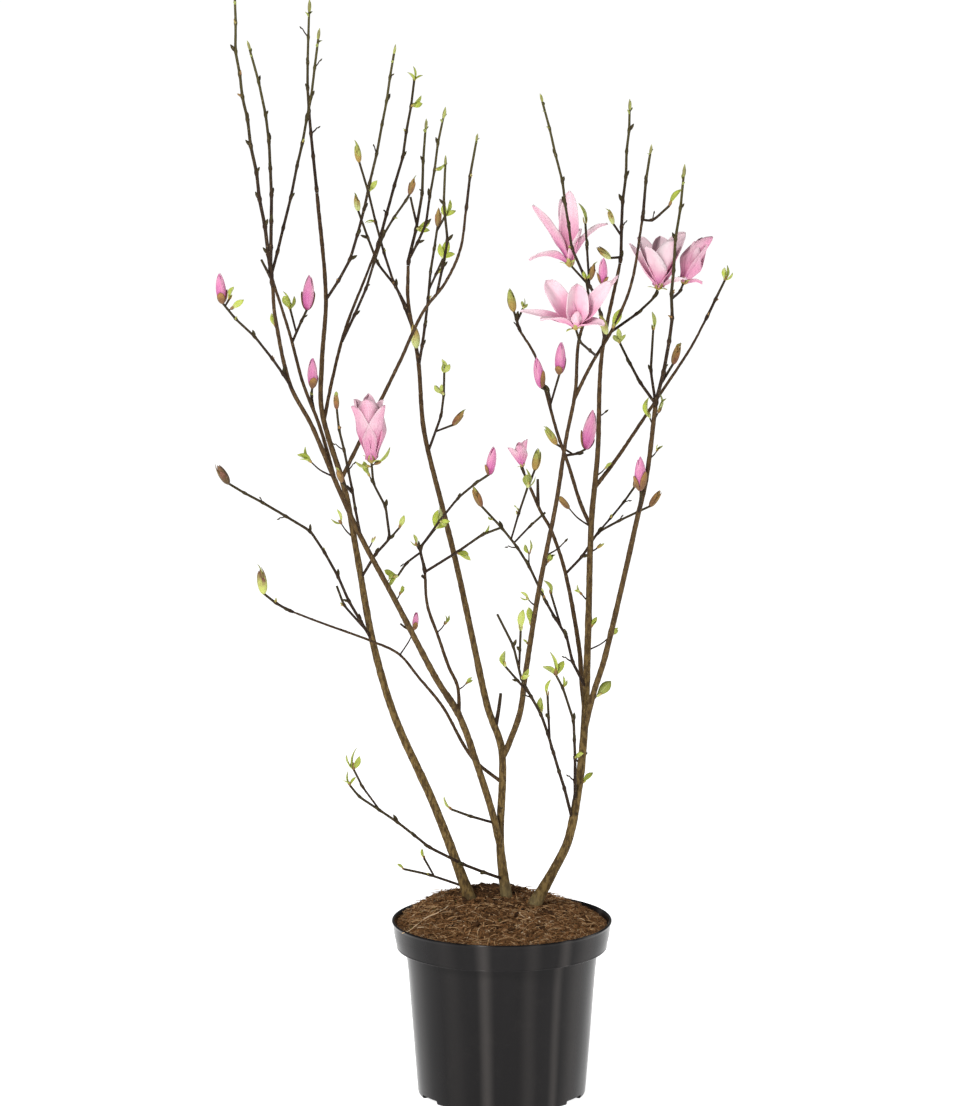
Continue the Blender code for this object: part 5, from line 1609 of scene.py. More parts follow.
def green_finish(settings):
    """Shoot tips and the green foot of a blossom, from olive-brown to yellow-green."""
    finish = Finish("young_green")
    along, fresh = finish.values("along", "fresh")
    clouds = finish.noise(finish.place((1, 1, 0.4)), 300, 3)
    colour = finish.mix(fresh.smooth_step(0.0, 1.0), settings.shoot_tip, settings.calyx)
    colour = finish.mix(clouds.smooth_step(0.4, 0.7) * 0.5, colour, settings.shade)
    colour = finish.mix(along.smooth_step(0.6, 1.0) * 0.4, colour, settings.vein)
    return finish.done(
        colour, 0.5 + clouds * 0.2, 0.35, Normal=finish.bump(clouds, 0.5, 0.0004), Sheen_Weight=0.15,
        Sheen_Roughness=0.4)


def painted_reflection_streaks(finish):
    """Upright streaks of painted reflection all round the pot, from 0 to 1, by the angle round its middle."""
    parts = finish.node("ShaderNodeSeparateXYZ", inputs={0: finish.place()}).socket.node
    sideways, forwards = (Wire(finish, parts.outputs[axis]) for axis in "XY")
    angle = sideways.joined("ARCTAN2", sideways, forwards * -1)
    waver = (finish.noise(finish.place((1, 1, 0.12)), 18, 2) - 0.5) * 0.10
    total = 0
    for turn, width, strength in REFLECTION_STREAKS:
        near = abs(angle + waver - math.radians(turn))
        total = (1 - near.smooth_step(0, math.radians(width))) * strength + total
    return total


def pot_finish(settings):
    """Black glossy moulded plastic, with faint paler flow marks, upright streaks of painted reflection, a
    little dust and a painted reflection along its edges.
    """
    finish = Finish("pot_plastic")
    flow = finish.noise(finish.place((1, 1, 0.05)), 26, 3)
    grain = finish.noise(finish.place(), 900, 2)
    dust = finish.noise(finish.place(), 38, 5, 0.65).smooth_step(0.5, 0.8)
    marks = finish.noise(finish.place((1, 1, 0.3)), 140, 4, 0.7, 0.4).smooth_step(0.6, 0.75)
    edge = finish.node("ShaderNodeLayerWeight", inputs={"Blend": 0.5}, output="Facing")
    colour = finish.mix(flow.smooth_step(0.35, 0.7), settings.plastic, settings.plastic_light)
    # Painted reflection: upright light streaks mixed into the plastic's colour at set angles round the pot
    colour = finish.mix(painted_reflection_streaks(finish), colour, settings.plastic_reflection_streak)
    # Painted reflection: a light grey edge where the wall turns away from the view, by the Layer Weight's
    # facing
    colour = finish.mix(edge.smooth_step(0.88, 0.985) * 0.8, colour, settings.plastic_edge_reflection)
    colour = finish.mix(dust * 0.03, colour, settings.dust)
    rough = 0.15 + flow * 0.07 + dust * 0.05 + marks * 0.02
    return finish.done(colour, rough, 0.14, Normal=finish.bump(grain * 0.25 + flow * 0.5, 0.22, 0.0004))


def compost_finish(settings):
    """Moist bark compost: crumbs in several browns, rough and matt."""
    finish = Finish("compost")
    crumbs = finish.cells(finish.place(), 380, output="Color")
    pick = finish.node("ShaderNodeSeparateColor", inputs={0: crumbs})
    fine = finish.noise(finish.place(), 900, 4, 0.65)
    patches = finish.noise(finish.place(), 38, 3)
    share = (pick * 0.6 + fine * 0.6).smooth_step(0.3, 0.85)
    colour = finish.mix(share, settings.crumb, settings.crumb_light)
    colour = finish.mix(patches.smooth_step(0.62, 0.40) * 0.55, colour, settings.crumb_dark)
    height = fine * 0.6 + finish.cells(finish.place(), 380) * 0.8
    return finish.done(colour, 0.80 + fine * 0.15, 0.06, Normal=finish.bump(height, 0.8, 0.0012))


def fibre_finish(name, first, second):
    """One kind of fibre or chip, in two mottled colours."""
    finish = Finish(name)
    fine = finish.noise(finish.place(), 700, 4, 0.6)
    wide = finish.noise(finish.place(), 120, 2)
    colour = finish.mix((fine * 0.5 + wide * 0.5).smooth_step(0.36, 0.64), first, second)
    return finish.done(colour, 0.72 + fine * 0.2, 0.08, Normal=finish.bump(fine, 0.6, 0.0005))


def floor_finish(settings):
    """A pale floor that glows a little, so that it meets the white world without an edge."""
    finish = Finish("studio_floor")
    grain = finish.noise(finish.place(), 60, 2)
    colour = finish.mix(grain * 0.1, settings.floor, settings.floor_shade)
    return finish.done(
        colour, 0.85 + grain * 0.05, 0.1, Emission_Color=(1, 1, 1), Emission_Strength=0.90)


# Pieces


@functools.cache
def whole_growth():
    """The whole growth, worked out once."""
    return Growth(Plant())


def body_radius(height):
    """The outer radius of the pot's body."""
    return BASE_RADIUS + (BODY_TOP_RADIUS - BASE_RADIUS) * height / SHOULDER


def pot_radius(height):
    """The pot's inner radius, which steps out at the collar."""
    if height < SHOULDER:
        return body_radius(height) - WALL
    share = (height - SHOULDER) / COLLAR_HEIGHT
    return COLLAR_FOOT_RADIUS + (RIM_RADIUS - RIM_SET_BACK - COLLAR_FOOT_RADIUS) * share - WALL


def heap(x, y):
    """How high the compost stands at a place. It is heaped round the stems and level at the rim."""
    away = (Vector((x, y, 0)) - HEAP_CENTRE).length / HEAP_RADIUS
    outer = min(1, math.hypot(x, y) / LEVEL_RADIUS)
    return COMPOST_EDGE + HEAP_HEIGHT * max(0, 1 - away ** 2) ** 1.15 * (1 - outer ** 8)


def heap_relief(x, y):
    """The heap with its hollows, lumps and crumbs."""
    place = Vector((x, y, 0))
    relief = sum(noise.noise(place * scale + Vector(shift)) * depth for scale, shift, depth in HEAP_NOISE)
    rim = min(1, math.hypot(x, y) / CRUMBLED_RADIUS)
    return heap(x, y) + relief * MM * (1 - 0.5 * rim ** 6)


def lathe(profile, steps):
    """Spins (radius, height) points round Z into a closed shape."""
    shape = bmesh.new()
    corners = [shape.verts.new((radius, 0, height)) for radius, height in profile]
    edges = [shape.edges.new(pair) for pair in zip(corners, corners[1:])]
    bmesh.ops.spin(
        shape, geom=corners + edges, cent=(0, 0, 0), axis=(0, 0, 1), dvec=(0, 0, 0),
        angle=math.tau, steps=steps, use_merge=True, use_duplicate=False)
    bmesh.ops.remove_doubles(shape, verts=shape.verts, dist=1e-6)
    bmesh.ops.recalc_face_normals(shape, faces=shape.faces)
    return shape


def arc(centre, radius, start, end, count):
    """Points on a part of a circle, from one angle to another in degrees."""
    return [
        (centre[0] + radius * math.cos(math.radians(start + (end - start) * step / count)),
         centre[1] + radius * math.sin(math.radians(start + (end - start) * step / count)))
        for step in range(count + 1)]


def pot_profile():
    """The wall run up the inside, over the rolled rim and down the collar and the body."""
    rounding = 0.006
    inner = pot_radius(FLOOR) - rounding
    inside = [
        (0, FLOOR),
        (inner, FLOOR),
        *arc((inner, FLOOR + rounding), rounding, -90, 0, 5)[1:],
        (pot_radius(SHOULDER - 0.003), SHOULDER - 0.003),
        (pot_radius(SHOULDER + 0.003), SHOULDER + 0.003),
        (pot_radius(POT_HEIGHT - 0.004), POT_HEIGHT - 0.004),
    ]
    rim = arc((RIM_RADIUS - RIM_ROLL, POT_HEIGHT - RIM_ROLL), RIM_ROLL, 150, -10, 10)
    step_radius = BODY_TOP_RADIUS + 0.0030
    collar = [
        (RIM_RADIUS - 0.0012, POT_HEIGHT - RIM_ROLL * 2.3),
        (RIM_RADIUS - 0.0016, POT_HEIGHT - RIM_ROLL * 3.2),
        ((RIM_RADIUS + COLLAR_FOOT_RADIUS) / 2 + 0.0004, POT_HEIGHT - COLLAR_HEIGHT * 0.5),
        (COLLAR_FOOT_RADIUS + 0.0006, SHOULDER + 0.0032),
        *arc((COLLAR_FOOT_RADIUS - 0.0006, SHOULDER + 0.0012), 0.0012, 30, -90, 5),
        (step_radius, SHOULDER),
        *arc((step_radius, SHOULDER - 0.0020), 0.0020, 90, 180, 4)[1:],
        (BODY_TOP_RADIUS + 0.0006, SHOULDER - 0.005),
    ]
    body = [
        (body_radius(height), height) for height in (SHOULDER - 0.03, SHOULDER * 0.6, SHOULDER * 0.3, 0.012)]
    edge = BASE_EDGE * 0.6
    foot = arc((BASE_RADIUS - edge, edge), edge, 0, -90, 5)
    below = [(BASE_RADIUS - 0.010, 0), (BASE_RADIUS - 0.012, 0.003), (0, 0.003)]
    return inside + rim + collar + body + foot + below


def notch_cutters():
    """A rounded block across the pot's foot for each drainage notch. The first is in front."""
    wide, deep, high = NOTCH_SIZE
    cutters = bmesh.new()
    for number in range(NOTCHES):
        turn = Matrix.Rotation(math.tau * number / NOTCHES - math.pi / 2, 4, "Z")
        spot = turn @ Matrix.Translation((BASE_RADIUS - wide * 0.12, 0, NOTCH_HEIGHT - high / 2))
        size = Matrix.Diagonal((wide, deep, high, 1))
        made = bmesh.ops.create_cube(cutters, size=1, matrix=spot @ size)["verts"]
        bmesh.ops.bevel(
            cutters, geom=list({edge for corner in made for edge in corner.link_edges}), offset=0.0015,
            offset_type="OFFSET", segments=3, affect="EDGES", profile=0.5, material=-1)
    return cutters


def make_pot(settings):
    """The pot, turned to its profile, with the notches cut out of its foot."""
    shape = lathe(pot_profile(), POT_STEPS)
    made = piece("plastic_pot", shape, [pot_finish(settings)], ["pot"], math.radians(38))
    tool = linked("notch_tool", template(notch_cutters()))
    cut = made.modifiers.new("notches", "BOOLEAN")
    cut.object = tool
    cut.solver = "EXACT"
    bpy.context.view_layer.update()
    finished = bpy.data.meshes.new_from_object(made.evaluated_get(bpy.context.evaluated_depsgraph_get()))
    made.modifiers.remove(cut)
    bpy.data.objects.remove(tool)
    made.data = finished


def make_compost(settings):
    """The heap of compost, with all that lies on it."""
    edge = pot_radius(COMPOST_EDGE - 0.004) - POT_AIR
    top = [(edge * step / COMPOST_RINGS, 0) for step in range(COMPOST_RINGS + 1)]
    above_step, below_step, bed = SHOULDER + 0.005, SHOULDER - 0.004, FLOOR + 0.008
    inside = (
        (edge - POT_AIR, 0.206),
        (pot_radius(above_step) - POT_AIR, above_step),
        (pot_radius(below_step) - POT_AIR, below_step),
        (pot_radius(bed) - 0.001, bed),
        (0, bed))
    shape = lathe(top + [(radius, height - 1) for radius, height in inside], COMPOST_STEPS)
    for corner in shape.verts:
        if corner.co.z < -0.5:
            corner.co.z += 1
        else:
            corner.co.z = heap_relief(corner.co.x, corner.co.y)
    bmesh.ops.recalc_face_normals(shape, faces=shape.faces)
    piece("compost_heap", shape, [compost_finish(settings)], ["compost"])
    for scatter in SCATTERS:
        make_scatter(scatter, settings)
    make_foot_cover(settings)
    make_long_fibre(settings)


def make_foot_cover(settings):
    """Crumbs and shreds pushed up against the stems, so that each rises out of the compost."""
    rng = random.Random(SEED + 21)
    pile = Pile(bmesh.new())
    forms = [template(part(rng)) for part in (chip_part, chip_part, fibre_part) for _ in range(8)]
    for limb in STEMS:
        x, y, _ = (number * CM for number in limb.knots[0])
        for _ in range(settings.foot_crumbs):
            turn = rng.uniform(0, math.tau)
            away = limb.thickness[0] * MM * rng.uniform(0.55, 1.05)
            spot = Vector((x + away * math.cos(turn), y + away * math.sin(turn), 0))
            spot.z = heap_relief(spot.x, spot.y) + rng.uniform(0, 3) * MM
            lying = tumbled(rng, spot, 0.9)
            pile.add(rng.choice(forms), lying @ Matrix.Scale(rng.uniform(0.8, 1.5), 4))
    finish = fibre_finish("foot_crumbs", settings.crumb_dark, settings.red)
    piece("foot_crumbs", pile.shape, [finish], ["compost"])


def tumbled(rng, place, steep):
    """The matrix of something that lies at a place, tipped and turned at random."""
    tipped = Matrix.Rotation(rng.uniform(-steep, steep), 4, "X")
    tipped = tipped @ Matrix.Rotation(rng.uniform(-steep, steep), 4, "Y")
    return Matrix.Translation(place) @ tipped @ Matrix.Rotation(rng.uniform(0, math.tau), 4, "Z")


def fibre_part(rng):
    """A thin curled shred of bark, in its own outline."""
    length = rng.uniform(5, 20) * MM
    width = rng.uniform(0.6, 1.8) * MM
    bend = rng.uniform(-2.2, 2.2)
    shape = bmesh.new()
    bmesh.ops.create_grid(shape, x_segments=1, y_segments=5, size=1)
    for corner in shape.verts:
        share = (corner.co.y + 1) / 2
        side = corner.co.x * width / 2 * (1 - 0.7 * abs(share * 2 - 1) ** 2)
        angle = bend * (share - 0.5)
        along = Vector((math.sin(angle) * length / max(0.4, abs(bend)), math.cos(angle) * length / 2, 0))
        along.y = (share - 0.5) * length * (1 - 0.06 * bend * bend)
        corner.co = along + Vector((side, 0, abs(side) * 0.6 + math.sin(share * 3.1) * length * 0.10))
    thicken(shape, 0.35 * MM)
    return shape


def chip_part(rng):
    """A broken crumb or chip of bark."""
    shape = bmesh.new()
    bmesh.ops.create_icosphere(shape, subdivisions=1, radius=1)
    long_way = rng.uniform(1.2, 4.2) * MM
    stretch = Vector((long_way, long_way * rng.uniform(0.35, 0.8), long_way * rng.uniform(0.2, 0.45)))
    for corner in shape.verts:
        push = 1 + rng.uniform(-0.28, 0.28)
        corner.co = Vector(side * part * push for side, part in zip(corner.co, stretch))
    return shape


def make_scatter(scatter, settings):
    """Strews a kind of shred or crumb over the compost."""
    name, group, (times, part), seed, colours, heaped, scale = scatter
    rng = random.Random(SEED + seed)
    pile = Pile(bmesh.new())
    form = fibre_part if group == "fibres" else chip_part
    forms = [template(form(rng)) for _ in range(SCATTER_FORMS)]
    reach = pot_radius(COMPOST_EDGE) - 0.004
    for _ in range(getattr(settings, group) * times // part):
        away = reach * math.sqrt(rng.random())
        turn = rng.uniform(0, math.tau)
        x, y = away * math.cos(turn), away * math.sin(turn)
        if heaped:
            pull = rng.random() ** heaped
            x, y = x * pull + HEAP_CENTRE.x * (1 - pull), y * pull + (HEAP_CENTRE.y + 0.03) * (1 - pull)
            if math.hypot(x, y) > reach:
                continue
        size = rng.uniform(0.6, 1.3) * scale
        lift = rng.uniform(-0.6, 2.2) * MM
        lying = tumbled(rng, Vector((x, y, heap_relief(x, y) + lift)), 0.8 if heaped else 0.4)
        if away > reach - NEAR_RIM:
            size *= 0.6
        pile.add(rng.choice(forms), lying @ Matrix.Scale(size, 4))
    finish = fibre_finish(name, *(getattr(settings, colour) for colour in colours))
    piece(name, pile.shape, [finish], ["compost"])


def make_long_fibre(settings):
    """The one long pale shred that lies across the front of the heap."""
    line = smooth([Vector(knot) for knot in LONG_FIBRE], TWIG_STEP)
    for place in line:
        place.z = heap_relief(place.x, place.y) + LONG_FIBRE_LIFT
    shape = sweep(line, [LONG_FIBRE_RADIUS] * len(line), 6, {})
    finish = fibre_finish("fibre_long", settings.tan, settings.pale)
    piece("fibre_long", shape, [finish], ["compost"])


def limb_shape(limb, sides, settings):
    """A limb's bark with its rings and knots."""
    plant = whole_growth().plant
    fine = plant.fine[limb.name]
    plain = shares(plant.lines[limb.name])
    whole = length_of(fine)
    rng = random.Random(SEED + len(limb.name) * 31 + sides)
    rings = [rng.random() for _ in range(max(3, round(whole / RING_SPACING)))]
    knots = [rng.random() for _ in range(max(2, round(whole / KNOT_SPACING)))]
    thick, age, scar = [], [], []
    for place, share in zip(fine, shares(fine)):
        radius = between(plain, plant.radii[limb.name], share)
        ring, knot = (
            max(math.exp(-((share - spot) * whole / width) ** 2) for spot in spots)
            for spots, width in ((rings, RING_WIDTH), (knots, KNOT_WIDTH)))
        rough = any(name == limb.name and low <= place.z / CM <= high for name, low, high in ROUGH)
        if rough:
            ring = 0.5 + 0.5 * math.sin(share * whole / ROUGH_RING * 2)
        thick.append(radius * (1 + 0.03 * ring + 0.07 * knot + (0.12 if rough else 0)))
        age.append(min(1.0, radius / OLD_RADIUS) + foot_share(place, limb.name))
        scar.append(min(1, ring * (0.7 if rough else 0.12)))
    return sweep(fine, thick, sides, {"age": age, "scar": scar}, settings.relief, LIMB_GRAIN)


def foot_share(place, name):
    """How far a stem's bark has turned grey at its foot."""
    return 0.5 * max(0, 1 - (place.z - GROUND) / FOOT_REACH[name]) if name in FOOT_REACH else 0


def make_limbs(limbs, sides, settings):
    """The bark of each limb, in a piece of its own. A stem is cut off level in the compost."""
    material = bark_finish(settings)
    for limb in limbs:
        shape = limb_shape(limb, sides, settings)
        if not limb.parent:
            bmesh.ops.bisect_plane(
                shape, geom=shape.verts[:] + shape.edges[:] + shape.faces[:], dist=1e-7,
                plane_co=(0, 0, limb.knots[0][2] * CM - FOOT_DEPTH), plane_no=(0, 0, 1), clear_inner=True)
            bmesh.ops.holes_fill(shape, edges=[edge for edge in shape.edges if edge.is_boundary], sides=0)
        piece("bark_" + limb.name, shape, [material], [limb.name])


def crown_side(x):
    """Which of the three joined pieces of twigs something belongs to."""
    return "left" if x < LEFT_EDGE else "right" if x > RIGHT_EDGE else "middle"


def make_twigs(settings):
    """All twigs with their small buds, in a piece for each side of the crown."""
    growth = whole_growth()
    material = bark_finish(settings)
    piles = {side: Pile() for side in ("left", "middle", "right")}
    for twig in growth.twigs:
        fresh = [twig.fresh * max(0, share - 0.35) / 0.65 for share in shares(twig.points)]
        age = [0.35 * radius / OLD_RADIUS for radius in twig.radii]
        values = {"age": age, "fresh": fresh}
        shape = sweep(twig.points, twig.radii, TWIG_SIDES, values, settings.relief * 0.4, TWIG_GRAIN)
        piles[crown_side(twig.points[-1].x)].add(shape)
    small = [template(small_bud(lean)) for lean in (0.0, 0.15, 0.3)]
    rng = random.Random(SEED + 5)
    for part in growth.growing:
        if part.kind == "next":
            piles[crown_side(part.place.x)].add(rng.choice(small), part.stand(0.8, part.size))
    for side, pile in piles.items():
        nodes = [spray.name for spray in SPRAYS if crown_side(spray.runs[0].knots[-1][0] * CM) == side]
        piece("twigs_" + side, pile.shape, [material], nodes)


def small_bud(lean):
    """The small pointed bud of next season, of length 1."""
    shape = ovoid(1, 0.42, 6, 5)
    fresh = shape.verts.layers.float["fresh"]
    for corner in shape.verts:
        corner.co.x += lean * corner.co.z ** 2 * 0.4
        corner[fresh] = 0.15 + 0.5 * max(0, corner.co.z)
    return shape


def make_foliage(settings):
    """Leaves, buds and blossoms, each tint and kind in a piece of its own."""
    piles = Piles(settings)
    for part in whole_growth().growing:
        piles.add(part)
    made = []
    for name, pile in piles.leaves.items():
        shade = settings.bright if name == "pale" else settings.shade
        finish = leaf_finish("leaf_" + name, getattr(settings, name), shade, settings)
        made.append(("leaves_" + name, pile, [finish]))
    for name, pile in piles.buds.items():
        base, tip = (getattr(settings, colour) for colour in BUD_COLOURS[name])
        made.append(("buds_" + name, pile, [bud_finish("bud_" + name, base, tip, settings)]))
    made.append(("petals", piles.petals, [petal_finish(settings), petal_inside_finish(settings)]))
    made.append(("shoot_tips", piles.greens, [green_finish(settings)]))
    for name, pile, finishes in made:
        piece(name, pile.shape, finishes, [spray.name for spray in SPRAYS])


# Settings


def colour_setting(name, text, value):
    return FloatVectorProperty(
        name=name, description=text, default=value, subtype="COLOR", size=3, min=0, max=1)


def length_setting(name, text, value):
    return FloatProperty(name=name, description=text, default=value, unit="LENGTH", subtype="DISTANCE")


class BarkSettings(PropertyGroup):
    """Colours and relief of stems, boughs and twigs."""

    relief: length_setting("Relief", "How far the bark stands out", 0.00032)
    stem: colour_setting("Stem", "Old bark", (0.072, 0.044, 0.015))
    stem_light: colour_setting("Stem light", "Lit patches of old bark", (0.165, 0.108, 0.038))
    bough: colour_setting("Bough", "Bark of a bough", (0.038, 0.021, 0.010))
    bough_light: colour_setting("Bough light", "Lit streaks of a bough", (0.098, 0.057, 0.025))
    twig: colour_setting("Twig", "Bark of a twig", (0.011, 0.007, 0.006))
    twig_light: colour_setting("Twig light", "Lit streaks of a twig", (0.034, 0.021, 0.014))
    foot: colour_setting("Foot", "Bark at a stem's foot", (0.190, 0.155, 0.075))
    shoot: colour_setting("Shoot", "Bark at a shoot's tip", (0.085, 0.078, 0.024))
    lenticel: colour_setting("Pores", "Corky pores", (0.27, 0.20, 0.11))
    crack: colour_setting("Cracks", "Rings and cracks", (0.030, 0.018, 0.013))


class LeafSettings(PropertyGroup):
    """Young leaves, buds and petals."""

    leaf_width: FloatProperty(name="Leaf width", description="Width as a share of the length", default=0.43)
    bud_length: FloatProperty(name="Bud length", description="Share of the pink buds' length", default=1.0)
    ripple: FloatProperty(name="Ripple", description="How far petals wave, as a share", default=0.05)
    tepal_wall: length_setting("Petal", "Thickness of a petal", 0.0006)
    bright: colour_setting("Bright leaf", "Sunlit young leaf", (0.370, 0.440, 0.038))
    pale: colour_setting("Pale leaf", "Leaf just out of its bud", (0.460, 0.490, 0.160))
    olive: colour_setting("Olive leaf", "Shaded leaf", (0.215, 0.240, 0.050))
    shade: colour_setting("Leaf shade", "Darker parts of a leaf", (0.250, 0.290, 0.034))
    vein: colour_setting("Vein", "Veins and midrib", (0.500, 0.540, 0.210))
    edge: colour_setting("Leaf edge", "Bronze edge of a leaf", (0.330, 0.210, 0.080))
    ochre: colour_setting("Ochre bud", "Hairy bud scales", (0.330, 0.200, 0.055))
    dark: colour_setting("Dark bud", "Winter bud scales", (0.060, 0.022, 0.018))
    dark_tip: colour_setting("Dark bud tip", "Their reddish tips", (0.150, 0.045, 0.045))
    russet: colour_setting("Russet", "Tips of brown buds", (0.290, 0.140, 0.045))
    bronze: colour_setting("Bronze bud", "Brown bud scales", (0.160, 0.062, 0.034))
    green_tip: colour_setting("Green tip", "Bud scales about to open", (0.330, 0.370, 0.090))
    hair: colour_setting("Hairs", "Silky hairs on buds", (0.560, 0.450, 0.250))
    scale_edge: colour_setting("Scale edge", "Dark edge of a bud scale", (0.120, 0.050, 0.030))
    shoot_tip: colour_setting("Shoot bud", "Bud at a shoot's end", (0.180, 0.160, 0.060))
    calyx: colour_setting("Calyx", "Green foot of a blossom", (0.480, 0.520, 0.140))
    petal_white: colour_setting("Petal white", "Inside of a petal", (0.730, 0.590, 0.620))
    petal_pale: colour_setting("Petal pale", "Palest outside", (0.680, 0.430, 0.500))
    petal_pink: colour_setting("Petal pink", "Middle of a petal", (0.640, 0.280, 0.410))
    petal_deep: colour_setting("Petal deep", "Deep pink", (0.510, 0.135, 0.320))
    petal_magenta: colour_setting("Petal magenta", "Foot of a petal", (0.280, 0.030, 0.120))


class PotSettings(PropertyGroup):
    """Pot and compost."""

    plastic: colour_setting("Plastic", "Moulded plastic", (0.0058, 0.0050, 0.0052))
    plastic_light: colour_setting("Plastic light", "Paler flow marks", (0.0080, 0.0070, 0.0073))
    # Painted reflection: the colour of the upright light streaks round the pot
    plastic_reflection_streak: colour_setting("Plastic streak", "Burnished upright marks", (0.046, 0.041, 0.039))
    # Painted reflection: the colour of the light grey edge where the wall turns away from the view
    plastic_edge_reflection: colour_setting("Plastic edge", "Sheen where the wall turns away", (0.240, 0.238, 0.245))
    dust: colour_setting("Dust", "Dried dust", (0.110, 0.095, 0.080))
    crumb: colour_setting("Compost", "Moist compost", (0.090, 0.043, 0.017))
    crumb_light: colour_setting("Compost light", "Dry compost", (0.330, 0.175, 0.080))
    moss: colour_setting("Moss", "Green specks", (0.120, 0.135, 0.035))
    crumb_dark: colour_setting("Compost dark", "Shaded bark", (0.020, 0.009, 0.005))
    red: colour_setting("Red fibre", "Red-brown shreds", (0.300, 0.148, 0.058))
    tan: colour_setting("Tan fibre", "Tan shreds", (0.620, 0.410, 0.220))
    pale: colour_setting("Pale bits", "Pale shreds", (0.760, 0.600, 0.420))
    fibres: IntProperty(name="Fibres", description="How many red shreds lie on the compost", default=2400)
    foot_crumbs: IntProperty(
        name="Crumbs at the feet", description="How many crumbs lie round each stem", default=46)
    chips: IntProperty(name="Chips", description="How many bark chips lie on the compost", default=900)


class StageSettings(PropertyGroup):
    """Floor, lights and camera."""

    floor: colour_setting("Floor", "Pale floor", (0.92, 0.92, 0.92))
    floor_shade: colour_setting("Floor shade", "Its faint clouds", (0.88, 0.88, 0.88))
    distance: length_setting("Distance", "How far the camera stands away", 8.0)
    pitch: FloatProperty(
        name="Pitch", description="How far it looks down", default=math.radians(10.7), subtype="ANGLE")
    target: FloatVectorProperty(
        name="Target", description="The place at the middle of the picture", default=(-0.0214, 0, 0.70),
        subtype="XYZ", unit="LENGTH")
    lens: FloatProperty(name="Lens", description="Focal length in mm on a 36 mm side", default=206.85)


# Steps


class PotMaker(Operator):
    """Moulds the black pot with its rolled rim, its collar and the notches round its foot"""

    bl_idname = "magnolia.pot"
    bl_label = "Pot"

    def execute(self, context):
        make_pot(context.scene.magnolia_pot)
        return {"FINISHED"}


class CompostMaker(Operator):
    """Heaps the compost and strews it with shreds and chips of bark"""

    bl_idname = "magnolia.compost"
    bl_label = "Compost"

    def execute(self, context):
        make_compost(context.scene.magnolia_pot)
        return {"FINISHED"}


class StemMaker(Operator):
    """Covers the three stems with bark"""

    bl_idname = "magnolia.stems"
    bl_label = "Stems"

    def execute(self, context):
        make_limbs(STEMS, STEM_SIDES, context.scene.magnolia_bark)
        return {"FINISHED"}


class BoughMaker(Operator):
    """Covers the boughs with bark"""

    bl_idname = "magnolia.boughs"
    bl_label = "Boughs"

    def execute(self, context):
        make_limbs(BOUGHS, BOUGH_SIDES, context.scene.magnolia_bark)
        return {"FINISHED"}


class TwigMaker(Operator):
    """Grows the twigs with their small buds"""

    bl_idname = "magnolia.twigs"
    bl_label = "Twigs"

    def execute(self, context):
        make_twigs(context.scene.magnolia_bark)
        return {"FINISHED"}


class FoliageMaker(Operator):
    """Grows the young leaves, the buds and the blossoms"""

    bl_idname = "magnolia.foliage"
    bl_label = "Leaves, buds and blossoms"

    def execute(self, context):
        make_foliage(context.scene.magnolia_leaf)
        return {"FINISHED"}


class StageMaker(Operator):
    """Lays the pale floor, lights the studio and sets up the camera"""

    bl_idname = "magnolia.stage"
    bl_label = "Studio"

    def execute(self, context):
        make_stage(context.scene, context.scene.magnolia_stage)
        return {"FINISHED"}


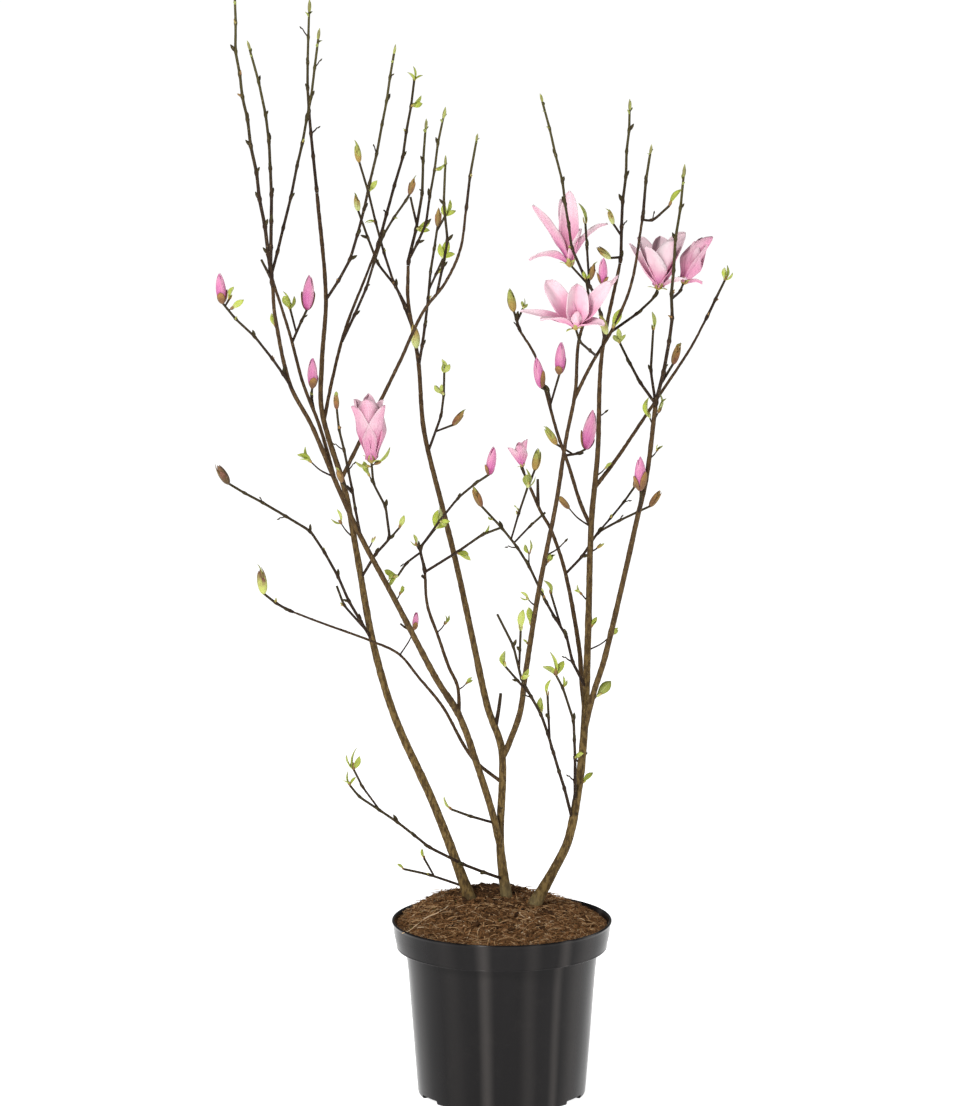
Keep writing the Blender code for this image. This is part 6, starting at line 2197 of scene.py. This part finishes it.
def make_stage(scene, settings):
    """The floor, the light and the camera."""
    shape = bmesh.new()
    bmesh.ops.create_grid(shape, x_segments=2, y_segments=2, size=FLOOR_REACH)
    floor = linked("studio_floor", template(shape))
    floor.data.materials.append(floor_finish(settings))
    world = bpy.data.worlds.new("studio")
    scene.world = world
    world.use_nodes = True
    background = world.node_tree.nodes["Background"]
    background.inputs["Color"].default_value = (1, 1, 1, 1)
    background.inputs["Strength"].default_value = WORLD_LIGHT
    for name, place, size, power in LAMPS:
        add_light(name, place, LAMP_TARGET, size, power)
    for name, azimuth, wide, power in STRIPS:
        flat = math.radians(azimuth)
        place = (STRIP_AWAY * math.sin(flat), -STRIP_AWAY * math.cos(flat), STRIP_HEIGHT)
        add_light(name, place, STRIP_TARGET, (wide, STRIP_LENGTH), power)
    camera_data = bpy.data.cameras.new("camera")
    camera_data.sensor_fit = "VERTICAL"
    camera_data.sensor_height = 36
    camera_data.lens = settings.lens
    camera_data.clip_end = 60
    camera = linked("camera", camera_data)
    back = Vector((0, -math.cos(settings.pitch), math.sin(settings.pitch)))
    camera.location = Vector(settings.target) + back * settings.distance
    camera.rotation_euler = (math.pi / 2 - settings.pitch, 0, 0)
    scene.camera = camera
    scene.view_settings.view_transform = "Standard"


def add_light(name, place, target, size, power):
    """A rectangular light at a place, turned to its target."""
    light = bpy.data.lights.new(name, "AREA")
    light.shape = "RECTANGLE"
    light.size, light.size_y = size
    light.energy = power
    made = linked(name, light)
    made.location = place
    made.rotation_euler = (Vector(target) - Vector(place)).to_track_quat("-Z", "Y").to_euler()


class MagnoliaPanel(Panel):
    """Lists the steps that make the magnolia"""

    bl_idname = "VIEW3D_PT_magnolia"
    bl_label = "Magnolia"
    bl_space_type = "VIEW_3D"
    bl_region_type = "UI"
    bl_category = "Magnolia"

    def draw(self, context):
        for maker in MAKERS:
            self.layout.operator(maker.bl_idname)
        scene = context.scene
        for settings in (scene.magnolia_bark, scene.magnolia_leaf, scene.magnolia_pot, scene.magnolia_stage):
            box = self.layout.box()
            for name in settings.bl_rna.properties.keys():
                if name not in ("rna_type", "name"):
                    box.prop(settings, name)


MAKERS = (PotMaker, CompostMaker, StemMaker, BoughMaker, TwigMaker, FoliageMaker, StageMaker)
GROUPS = (
    ("magnolia_bark", BarkSettings), ("magnolia_leaf", LeafSettings), ("magnolia_pot", PotSettings),
    ("magnolia_stage", StageSettings))


def register():
    for name, group in GROUPS:
        bpy.utils.register_class(group)
        setattr(bpy.types.Scene, name, PointerProperty(type=group))
    for maker in MAKERS + (MagnoliaPanel,):
        bpy.utils.register_class(maker)


def unregister():
    for maker in MAKERS + (MagnoliaPanel,):
        bpy.utils.unregister_class(maker)
    for name, group in GROUPS:
        delattr(bpy.types.Scene, name)
        bpy.utils.unregister_class(group)


def main():
    register()
    bpy.ops.magnolia.pot()
    bpy.ops.magnolia.compost()
    bpy.ops.magnolia.stems()
    bpy.ops.magnolia.boughs()
    bpy.ops.magnolia.twigs()
    bpy.ops.magnolia.foliage()
    bpy.ops.magnolia.stage()


if __name__ == "__main__":
    main()
